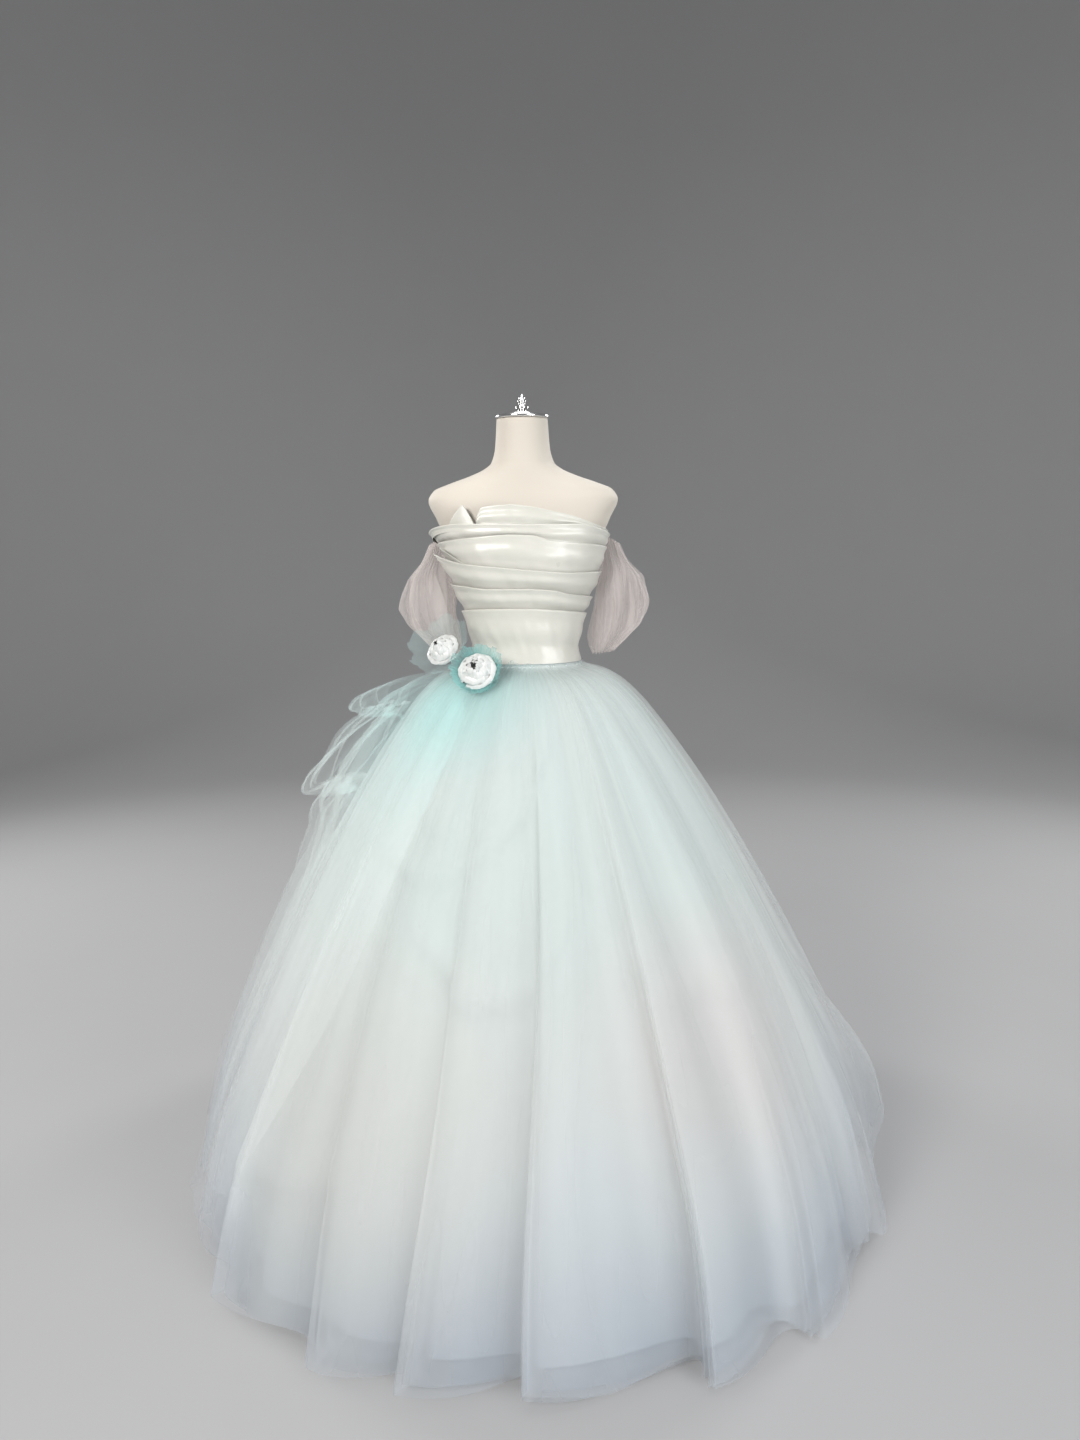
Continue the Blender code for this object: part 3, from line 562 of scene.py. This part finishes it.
def band_surface(name):
    """A folded band: up from its foot, over a rounded edge and a little way down behind."""
    first, last = BANDS[name][0][0], BANDS[name][-1][0]
    angle = np.linspace(first, last, max(60, int((last - first) * 1.1)))[None, :]
    height, lift, high, out = band_face(name, angle, np.linspace(1, 0, 30)[:, None])
    front = polar(angle, section_radius(BODICE_CURVES, angle, height, lift), height)
    turns = np.linspace(math.pi, 0, 9)[:-1, None]
    rolled = polar(
        angle, section_radius(BODICE_CURVES, angle, high, out - BAND_ROLL + BAND_ROLL * np.cos(turns)),
        high - BAND_ROLL * 0.2 + BAND_ROLL * np.sin(turns))
    tuck = np.linspace(0.012, 0.001, 6)[:, None]
    back_lift = np.maximum(out - 2 * BAND_ROLL - 0.15 * tuck, 0.0008)
    behind = polar(angle, section_radius(BODICE_CURVES, angle, high - tuck, back_lift), high - tuck)
    return np.concatenate([behind, rolled, front])


BAND_CUTS = {"fold_band_1": (0.30, 0.13), "fold_band_2": (0.33, 0.085), "fold_band_3": (0.40, 0.10),
             "fold_band_4": (0.42, 0.10), "fold_band_5": (0.44, 0.075), "fold_band_6": (0.25, 0.060)}


def make_bands():
    for name, cut in BAND_CUTS.items():
        obj = mesh_object(name.replace("fold_", "satin_"), [band_surface(name)], SATIN)
        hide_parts(name)
    spread = np.linspace(-1, 1, 40)[None, :]
    share = np.linspace(1, 0, 30)[:, None]
    # The pointed fold at the neckline
    angle = -53.5 + 12 * spread
    apex = 1.366 - 0.0425 * np.abs(spread) ** 1.1
    height = 1.320 + (apex - 1.320) * share
    lift = 0.0034 + 0.0012 * (1 - np.abs(spread)) * share
    peak = folded_point("satin_peak", angle, height, lift)
    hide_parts("fold_peak")
    # The corner of cloth that shows in the mouth of the lower bow
    angle = -67 + 15 * spread
    lean = np.clip(1 - np.abs(spread + 0.25) / np.where(spread < -0.25, 0.75, 1.25), 0, 1)
    foot = band_edge("fold_band_3")(angle) - 0.006
    height = foot + (0.006 + 0.021 * lean) * share
    near = band_face("fold_band_4", angle, np.clip((height - foot) / 0.045, 0, 1))[1]
    corner = folded_point("satin_corner", angle, height, near + 0.0028 + 0.0065 * lean * share)


def folded_point(name, angle, height, lift):
    """A pointed double fold of satin lying on the bodice."""
    outer = polar(angle, section_radius(BODICE_CURVES, angle, height, lift), height)
    inner = polar(angle, section_radius(BODICE_CURVES, angle, height, lift - 0.0018), height)
    obj = mesh_object(name, [np.concatenate([inner[::-1], outer])], SATIN)
    return obj


# Skirt


def ply(name, material, columns, rows, depth, hem, seed, waves, fold_share=1.0, crease=0.0, flick=0.0):
    """One ply of the skirt, all the way round: depth behind the outer one by share, and hem height by angle.

    crease is the height of the sagging pulls, and flick how far the corner at the left side stands out. The
    ply that has it is the outer one, whose uncut edge also shows over the waist seam beside the roses."""
    angle = np.linspace(-180, 180, columns, endpoint=False)[None, :]
    share = (np.linspace(0, 1, rows) ** 1.25)[:, None]
    drop = (WAIST - SEAM_GAP - hem(angle)) * share
    growth = (drop / SKIRT_DROP[-1]) ** 1.05
    wave, height, lean = fold_field(angle)
    wander = 1.6 * np.sin(np.radians(3 * angle) + 0.35 * seed) * (1 - share)
    wander = wander + 1.0 * np.sin(np.radians(7 * angle) + 5 * share)
    bulge = wave * height * growth * fold_share
    corner = flick * np.exp(-(((angle - 84) / 7) ** 2)) * smooth(0.58, 0.92, share)
    out = ripples(angle, drop, seed, waves) - depth(share)
    if crease:
        out = out + crease * swags(angle, drop)
    grid = skirt_point(angle + wander - lean * growth**0.6 * fold_share, drop, out, bulge + corner)
    grid[..., 2] = np.maximum(grid[..., 2], NET_TOUCH)
    if flick:
        round_it = angle[0]
        beside = np.exp(-(((round_it + 14) / 16) ** 2))
        ragged = beside * (0.5 + 0.5 * np.sin(np.radians(round_it * 17))) * 0.009
        rim = [polar(round_it, section_radius(BODICE_CURVES, round_it, WAIST + up, 0.0062), WAIST + up)
               for up in (ragged, 0.5 * ragged)]
        grid = np.concatenate([np.stack(rim), grid])
    return mesh_object(name, [grid], material, closed=True)


SWAGS = (  # angles of the ends, drops there, size, width
    (-40, 9, 0.30, 0.12, 1.0, 0.011), (-24, 10, 0.40, 0.40, 0.9, 0.012), (-36, 0, 0.20, 0.10, 0.6, 0.010),
    (8, 50, 0.30, 0.50, 0.5, 0.014), (-50, -16, 0.78, 0.62, 0.6, 0.016), (110, 190, 0.34, 0.20, 0.7, 0.018),
    (170, 240, 0.30, 0.50, 0.7, 0.018), (130, 175, 0.60, 0.72, 0.5, 0.020),
)


def swags(angle, drop):
    """Soft sagging pulls in the outer tulle, from the roses across the upper front, and others behind."""
    total = 0
    for start, end, low, high, size, width in SWAGS:
        t = np.clip((((angle - start) + 180) % 360 - 180) / (end - start), 0, 1)
        line = low + (high - low) * t + 0.11 * np.sin(math.pi * t)
        side = drop - line
        ridge = np.where(side < 0, np.exp(-((side / (2.6 * width)) ** 2)), np.exp(-((side / width) ** 2)))
        total = total + size * ridge * np.sin(math.pi * t) ** 0.6
    return total


def fade_waist(drop):
    return np.exp(-drop / 0.10)


def fade_long(drop):
    return np.exp(-drop / 0.45) * smooth(0, 0.03, drop)


def grow(drop):
    return (drop / 1.03) ** 0.9


def grow_late(drop):
    return (drop / 1.03) ** 1.8


def make_skirt():
    def hem_over(angle):
        turn = np.radians(angle)
        return (0.024 + 0.009 * np.sin(7 * turn + 0.6) + 0.005 * np.sin(19 * turn)
                + 0.105 * np.exp(-(((angle - 85) / 8) ** 2)))

    def hem_middle(angle):
        turn = np.radians(angle)
        return 0.011 + 0.005 * np.sin(9 * turn + 2) + 0.003 * np.sin(23 * turn)

    def hem_inner(angle):
        return 0.006 + 0.002 * np.sin(np.radians(11 * angle))

    def hem_lining(angle):
        return 0.040 + 0 * angle

    over = ply("tulle_over", OVER, 760, 88, lambda s: 0.0002 + 0.001 * s, hem_over, 1.0,
               ((97, 0.0004, fade_waist), (53, 0.0008, fade_long), (31, 0.0022, grow),
                (19, 0.0080, grow_late)), crease=0.010, flick=0.082)
    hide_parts("tulle_outer_front", "tulle_outer_back")
    middle = ply("tulle_middle", MIDDLE, 540, 72, lambda s: 0.0009 + 0.022 * s**0.5, hem_middle, 2.4,
                 ((83, 0.0004, fade_waist), (47, 0.0007, fade_long), (27, 0.0020, grow),
                  (17, 0.0065, grow_late)), fold_share=0.96, crease=0.008)
    inner = ply("tulle_inner", INNER, 480, 64, lambda s: 0.0020 + 0.040 * s**0.5, hem_inner, 4.1,
                ((71, 0.0004, fade_waist), (37, 0.0007, fade_long), (23, 0.0024, grow),
                 (15, 0.0060, grow_late)), fold_share=0.9, crease=0.006)
    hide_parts("tulle_inner_front", "tulle_inner_back")
    under = ply("lining_skirt", LINING, 320, 48, lambda s: 0.0042 + 0.066 * s**0.6, hem_lining, 5.2,
                ((61, 0.0006, fade_waist), (29, 0.0050, grow)), fold_share=0.55)
    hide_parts("underskirt_front", "underskirt_back")


# Side drape

DRAPE_EDGES = (  # drop, front edge, back edge, fullest
    (0.012, -40, -72, -64), (0.024, -36, -90, -76), (0.050, -32, -105, -88), (0.105, -28, -116, -91),
    (0.185, -28, -121, -92), (0.265, -30, -122, -92), (0.460, -35, -122, -92), (0.620, -38, -120, -92),
    (0.790, -41, -117, -92), (0.980, -46, -112, -92),
)
DRAPE_PATH = (  # along the cloth: drop, and how far it stands off at its fullest, with two tucks
    (0.012, 0.001), (0.020, 0.022), (0.042, 0.072), (0.072, 0.106), (0.087, 0.103), (0.099, 0.090),
    (0.097, 0.070), (0.090, 0.055), (0.102, 0.060), (0.125, 0.075), (0.156, 0.087), (0.192, 0.092),
    (0.226, 0.095), (0.250, 0.091), (0.263, 0.078), (0.252, 0.056), (0.240, 0.042), (0.257, 0.042),
    (0.290, 0.050), (0.340, 0.028), (0.395, 0.016), (0.470, 0.009), (0.620, 0.007), (0.790, 0.006),
    (0.975, 0.006),
)


def drape_sheet(rows, columns, full, seed, last=1.0, sink=0.0):
    """A sheet fanned from under the roses over the hip, with folds between its strands that reach the rose.

    full scales how far it stands off, last is the share of the path that it covers, and sink lowers it."""
    path = np.array(DRAPE_PATH)
    length = np.concatenate([[0], np.cumsum(np.hypot(*np.diff(path, axis=0).T))])
    along = np.linspace(0, length[-1] * last, rows)
    k = np.arange(len(path))
    place = np.interp(along, length, k)
    fine = [curve(k, path[:, j])(place) for j in (0, 1)]
    edges = [curve(*zip(*[(row[0], row[j]) for row in DRAPE_EDGES])) for j in (1, 2, 3)]
    drop, stand = (value[:, None] for value in fine)
    across = np.linspace(0, 1, columns)[None, :]
    fan = np.sin(math.pi * np.clip(across, 0, 1)) ** 0.5
    creased = across + 0.012 * np.sin(19 * across + seed) * fan + 0.006 * np.sin(43 * across + 2 * seed) * fan
    front, back, full_at = (edge(drop) for edge in edges)
    angle = front + (back - front) * creased
    away = np.minimum(90, np.abs(angle - full_at) * 1.5)
    swell = np.cos(np.radians(away)) ** 2
    eighths = np.linspace(0, 1, 8)
    never_up = np.interp(eighths * along[-1], along, np.maximum.accumulate(fine[0]))
    even = curve(eighths, never_up)(along / along[-1])[:, None]
    drop = even + (drop - even) * smooth(0.30, 0.75, swell)  # the tucks are only where it is full
    sag = 0.080 * (across - 0.66) * smooth(0.05, 0.20, drop) * (1 - smooth(0.30, 0.60, drop))
    drop = np.maximum(drop + sag, 0.004)
    spread = smooth(0.012, 0.14, drop)
    drift = creased - 0.22 * np.sqrt(np.clip(drop, 0, 1))
    ridges = (
        0.0170 * (1 - np.abs(np.sin(13.0 * drift + seed))) ** 2.8
        + 0.0100 * (1 - np.abs(np.sin(23.0 * drift + 2.1 * seed + 1.5 * drop))) ** 3.0
        + 0.0018 * np.sin(61 * drift + 0.9 * seed - 5.0 * drop)
    ) * (0.30 + 0.70 * spread) * (0.6 + 0.9 * swell)
    high_up = smooth(0.03, 0.10, drop) * (1 - smooth(0.35, 0.6, drop))
    pulls = 0.004 * np.sin(17 * across - 40 * drop + seed) * swell * high_up
    rest = 0.0065 + 0.006 * smooth(0.05, 0.3, drop) - sink
    out = rest + stand * full * swell + np.maximum(ridges + pulls, -0.004)
    wave, height, lean = fold_field(angle)
    growth = (np.clip(drop, 0, 1.03) / 1.03) ** 1.6
    return skirt_point(angle - lean * growth**0.5, drop, 0, wave * height * growth + out)


def make_drape():
    outer = drape_sheet(220, 210, 1.0, 0.7)
    inner = drape_sheet(150, 140, 0.45, 3.9, last=0.94, sink=0.0035)
    drape = mesh_object("side_drape_tulle", [outer], DRAPE)
    under = mesh_object("side_drape_under", [inner], DRAPE_UNDER)
    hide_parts("side_drape")


# Sleeves

SLEEVE = (  # out, back, height, half width, half depth, tip
    (0.1725, 0.046, 1.300, 0.0210, 0.031, -0.55), (0.1800, 0.044, 1.268, 0.0280, 0.041, -0.35),
    (0.1930, 0.040, 1.225, 0.0420, 0.058, -0.15), (0.1930, 0.040, 1.175, 0.0520, 0.068, 0.00),
    (0.1860, 0.040, 1.130, 0.0510, 0.066, 0.12), (0.1710, 0.040, 1.096, 0.0400, 0.054, 0.20),
    (0.1600, 0.040, 1.074, 0.0250, 0.038, 0.18),
)


def sleeve_tube(side, shrink, seed, rows, columns):
    """A puff sleeve's net, a tube drawn in at both ends. side is 1 for the wearer's left."""
    heights = [row[2] for row in SLEEVE][::-1]
    parts = [curve(heights, [row[j] for row in SLEEVE][::-1]) for j in (0, 1, 3, 4, 5)]
    height = np.linspace(heights[-1], heights[0], rows)[:, None]
    out, back, half_out, half_deep, tip = (part(height) for part in parts)
    turn = (np.arange(columns) * math.tau / columns)[None, :]
    share = np.linspace(0, 1, rows)[:, None]
    ends = np.sin(math.pi * np.clip(share, 0, 1)) ** 0.6
    warp = turn + 0.10 * np.sin(3 * turn + seed) + 0.05 * np.sin(share * 5 + 4 * turn)
    gathers = (
        0.0010 * np.sin(23 * warp + seed + 2.2 * share)
        + 0.0012 * np.sin(41 * warp - seed + 2.0 * share) * (1 - 0.8 * ends)
        + 0.0070 * (1 - np.abs(np.sin(4.5 * warp + 2 * seed + 2.4 * share))) ** 1.6 * ends
        + 0.0046 * (1 - np.abs(np.sin(7.5 * warp + seed - 3.6 * share))) ** 2.0 * ends
        + 0.0040 * np.sin(3 * turn + 7 * share + seed) * ends - 0.003
    )
    x = (half_out - shrink + gathers) * -np.cos(turn)
    y = (half_deep - shrink + gathers) * -np.sin(turn)
    lift = 0.0020 * np.sin(23 * warp + seed) * (1 - ends)
    return np.stack(np.broadcast_arrays(side * (out + x), back + y * side, height + tip * x + lift), -1)


def make_sleeves():
    for name, side in (("left", 1), ("right", -1)):
        puff = sleeve_tube(side, 0.0005, 0.8 + side, 84, 240)
        lining = sleeve_tube(side, 0.0075, 3.1 - side, 60, 180)
        outer = mesh_object(f"puff_sleeve_{name}", [puff], BLUSH, closed=True)
        # the lining takes the darker copy of the blush net, painted shade inside the puff
        inner = mesh_object(f"puff_lining_{name}", [lining], BLUSH_PAINTED_SHADE, closed=True)
        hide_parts(f"sleeve_{name}")


# Roses

PETALS = 10
ROSES = {  # middle of the mouth, facing, radius of the mouth, depth
    "rose_front": ((-0.0940, -0.1560, 1.0690), (-0.18, -0.84, 0.52), 0.038, 0.034),
    "rose_back": ((-0.1660, -0.0860, 1.1020), (-0.40, -0.72, 0.56), 0.035, 0.030),
}


def rose_axes(faces):
    ahead = np.array(faces) / np.linalg.norm(faces)
    across = np.cross(ahead, (0, 0, 1))
    across /= np.linalg.norm(across)
    return across, np.cross(across, ahead), ahead


def settled(points, clear_top, clear_skirt):
    """The points, moved straight out from the axis where they would sink into the gown."""
    x, y, height = points[..., 0], points[..., 1], points[..., 2]
    angle, radius = np.degrees(np.arctan2(x, -y)), np.hypot(x, y)
    on_bodice = section_radius(BODICE_CURVES, angle, np.maximum(height, WAIST), clear_top)
    drop = np.maximum(WAIST - height, 0)
    aim = drop.copy()
    for _ in range(6):
        found = skirt_point(angle, drop, clear_skirt)
        drop = np.maximum(0, drop + found[..., 2] - (WAIST - aim))
    on_skirt = np.hypot(found[..., 0], found[..., 1])
    blend = smooth(-0.006, 0.004, height - WAIST)
    least = on_skirt * (1 - blend) + on_bodice * blend
    return polar(angle, np.maximum(radius, least), height)


def make_rose(name, mouth_at, faces, mouth, height, seed):
    """A rolled bud: petals wrap one over the next, the outer ones wider, their lips turned out a little."""
    across, upward, ahead = rose_axes(faces)
    grids = []
    for k in range(PETALS):
        level = (k + 1) / PETALS
        reach = mouth * (0.30 + 0.68 * level**0.9)
        middle = 2.4 * k + seed
        half = 1.25 + 0.55 * level if k < PETALS - 1 else 1.9
        u = np.linspace(-1, 1, 44)[None, :]
        v = np.linspace(1, 0, 24)[:, None]
        turn = middle + half * u
        top = (0.42 - 0.80 * level) * mouth
        droop = (0.10 + 0.30 * level) * np.abs(u) ** 3
        bulge = np.sin(math.pi * (0.08 + (0.905 - 0.20 * level) * v)) ** 0.70
        crumple = 0.0022 * np.sin(5 * turn + 7 * v + seed) * np.sin(3 * turn - 5 * v + k)
        crumple = crumple + 0.0007 * np.sin(17 * turn + 11 * v)
        curl = 0.0026 * smooth(0.86, 1.0, v) * level**2
        radius = reach * bulge + (crumple * v + curl) + 0.0012 * u * (k % 2 * 2 - 1)
        lift = -height + (height + top) * np.clip(v * (1 - droop), 0, 1) - 0.0022 * smooth(0.90, 1.0, v) * level
        grids.append(
            np.array(mouth_at)
            + ahead * lift[..., None]
            + radius[..., None] * (across * np.cos(turn)[..., None] + upward * np.sin(turn)[..., None])
        )
    obj = mesh_object(name.replace("rose_", "satin_rose_"), grids, ROSE)
    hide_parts(name)
    return obj


def frill(name, rose, rings, lifts, waves, wave, seed, material, columns=260, rows=28):
    """A gathered strip of net round a rose, from its outer edge in: radii and heights over the rose's foot."""
    mouth_at, faces, _, height = ROSES[rose]
    across, upward, ahead = rose_axes(faces)
    foot = np.array(mouth_at) - ahead * height
    turn = (np.arange(columns) * math.tau / columns)[None, :]
    k = np.linspace(0, len(rings) - 1, rows)
    places = np.arange(len(rings))
    radius, lift = curve(places, rings)(k)[:, None], curve(places, lifts)(k)[:, None]
    size = np.clip(radius / rings[0], 0, 1)
    warp = turn + 0.16 * np.sin(2 * turn + seed) + 0.06 * np.sin(5 * turn + 2 * seed)
    ruffle = wave * np.sin(waves * warp) * size**1.4 + 0.45 * wave * np.sin(2.3 * waves * warp + seed) * size
    fine = 0.0008 * np.sin(round(4.3 * waves) * warp + seed)
    radius = radius + (0.35 * ruffle + fine) * size + 0.003 * np.sin(3 * turn + seed) * size
    points = (
        foot
        + ahead * (lift + ruffle)[..., None]
        + radius[..., None] * (across * np.cos(turn)[..., None] + upward * np.sin(turn)[..., None])
    )
    return mesh_object(name, [settled(points, 0.0085, 0.0035 + 0.001 * (1 - size))], material, closed=True)


def make_roses():
    for (name, rose), seed, cut in zip(ROSES.items(), (0.6, 2.5), ((0.52, 0.050), (0.48, 0.045))):
        obj = make_rose(name, *rose, seed=seed)
    ruffle = frill("aqua_ruffle", "rose_front", (0.050, 0.042, 0.030, 0.0125), (0.024, 0.015, 0.004, -0.002),
                   13, 0.0036, 0.4, AQUA)
    second = frill("aqua_ruffle_under", "rose_front", (0.046, 0.036, 0.024, 0.012), (0.012, 0.006, 0.000, -0.003),
                   17, 0.0034, 2.2, AQUA)
    puff = frill("tulle_puff", "rose_back", (0.062, 0.050, 0.034, 0.012), (0.030, 0.020, 0.006, -0.002),
                 6, 0.0075, 1.4, PUFF)
    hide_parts("rose_ruffle")
    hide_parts("rose_puff")


# Studio


def make_stage():
    """A round sheet of paper that bends up into a wall."""
    count = 96
    turn = np.arange(count) * math.tau / count
    bend = np.linspace(0, math.pi / 2, 16)
    profile = [(0.001, 0.0), (1.0, 0.0), (2.5, 0.0), (4.0, 0.0)]
    profile += [(4.0 + 2.0 * math.sin(b), 2.0 - 2.0 * math.cos(b)) for b in bend[1:]] + [(6.0, 4.0), (6.0, 6.5)]
    line = np.array(profile)
    grid = np.stack([line[:, :1] * np.cos(turn), line[:, :1] * np.sin(turn), line[:, 1:] + 0 * turn], -1)
    paper = plain("studio_paper", (0.47, 0.47, 0.475), 0.9)
    floor = mesh_object("studio_floor", [grid], paper, closed=True, body=None)


def area_light(name, at, target, size, energy, colour=(1, 1, 1)):
    data = bpy.data.lights.new(name, "AREA")
    data.shape, data.size, data.energy, data.color = "DISK", size, energy, colour
    obj = bpy.data.objects.new(name, data)
    bpy.context.collection.objects.link(obj)
    obj.location = at
    aim = np.array(target, float) - np.array(at, float)
    obj.rotation_euler = Vector(aim).to_track_quat("-Z", "Y").to_euler()


def make_lights():
    area_light("key", (-1.9, -2.9, 2.6), (0, 0, 0.8), 1.2, 91, (1.0, 0.985, 0.965))
    area_light("fill", (2.4, -3.0, 1.3), (0, 0, 0.7), 2.0, 72, (0.96, 0.98, 1.0))
    area_light("top", (0, 0.2, 4.4), (0, 0, 0.6), 2.0, 50)
    area_light("back_left", (-2.9, 2.2, 2.2), (0, 0, 0.8), 1.4, 50)
    area_light("back_right", (2.9, 2.4, 2.4), (0, 0, 0.8), 1.4, 50)
    world = bpy.data.worlds.new("studio")
    world.use_nodes = True
    world.node_tree.nodes["Background"].inputs["Color"].default_value = (0.97, 0.98, 1.0, 1)
    world.node_tree.nodes["Background"].inputs["Strength"].default_value = 0.22
    bpy.context.scene.world = world
    bpy.context.scene.view_settings.view_transform = "Standard"


def make_camera():
    data = bpy.data.cameras.new("camera")
    data.lens, data.sensor_width = 27, 36
    data.clip_end = 60
    camera = bpy.data.objects.new("camera", data)
    bpy.context.collection.objects.link(camera)
    camera.matrix_world = (
        Matrix.Translation((0.0276, -2.16, 1.30))
        @ Matrix.Rotation(math.radians(80.5), 4, "X")
        @ Matrix.Rotation(math.radians(-0.7), 4, "Z")
    )
    bpy.context.scene.camera = camera


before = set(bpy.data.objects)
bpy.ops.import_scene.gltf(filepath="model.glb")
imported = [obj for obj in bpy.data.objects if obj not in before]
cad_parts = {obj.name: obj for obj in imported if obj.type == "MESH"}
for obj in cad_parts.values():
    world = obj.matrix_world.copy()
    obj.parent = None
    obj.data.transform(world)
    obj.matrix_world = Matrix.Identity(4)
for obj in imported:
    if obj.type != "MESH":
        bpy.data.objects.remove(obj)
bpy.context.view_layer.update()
bpy.context.scene.cycles.transparent_max_bounces = 24
bpy.context.scene.cycles.max_bounces = 3
bpy.context.scene.cycles.diffuse_bounces = 1

IVORY = jersey("form_jersey", (0.76, 0.70, 0.61))
CHROME = chrome("polished_chrome")
SATIN = satin("duchess_satin", (0.80, 0.785, 0.71), 0.30)
ROSE = satin("rose_satin", (0.88, 0.885, 0.865), 0.32, 0.4)
OVER = tulle("over_tulle", 0.30, skirt_dye)
MIDDLE = tulle("middle_tulle", 0.36, skirt_dye)
INNER = tulle("inner_tulle", 0.46, lambda n: skirt_dye(n, 0.45, 0.20))
LINING = tulle("lining_cloth", 1.15, lambda n: skirt_dye(n, 0.2, 0.18), glow=0.15)
DRAPE = tulle("drape_tulle", 0.17, lambda n: skirt_dye(n, 0.9, 0.42), sheen=0.6, glow=0.45)
DRAPE_UNDER = tulle("drape_under_tulle", 0.18, lambda n: skirt_dye(n, 0.9, 0.40), sheen=0.6, glow=0.45)
BLUSH = tulle("blush_tulle", 0.38, colour=(0.86, 0.79, 0.76), sheen=0.5, glow=0.4, patchy=0.9, grain=(34.0, 5.0))
# The sleeves' lining net: the blush colour made evenly darker, a painted shade for the inside of the puff
BLUSH_PAINTED_SHADE = tulle("blush_tulle_painted_shade", 0.34, colour=(0.80, 0.735, 0.71), sheen=0.4, glow=0.4, patchy=0.7,
                    grain=(26.0, 6.0))
AQUA = tulle("aqua_tulle", 0.40, colour=(0.36, 0.80, 0.78), sheen=0.5, glow=0.4)
PUFF = tulle("puff_tulle", 0.24, colour=(0.66, 0.86, 0.84), sheen=0.6, glow=0.45)

make_camera()
make_form()
make_metalwork()
make_bodice()
make_bands()
make_skirt()
make_drape()
make_sleeves()
make_roses()
make_stage()
make_lights()
for sheer in ("tulle_over", "side_drape_tulle", "side_drape_under", "puff_lining_left", "puff_lining_right"):
    bpy.data.objects[sheer].visible_shadow = False  # net this thin casts next to none, and it renders faster
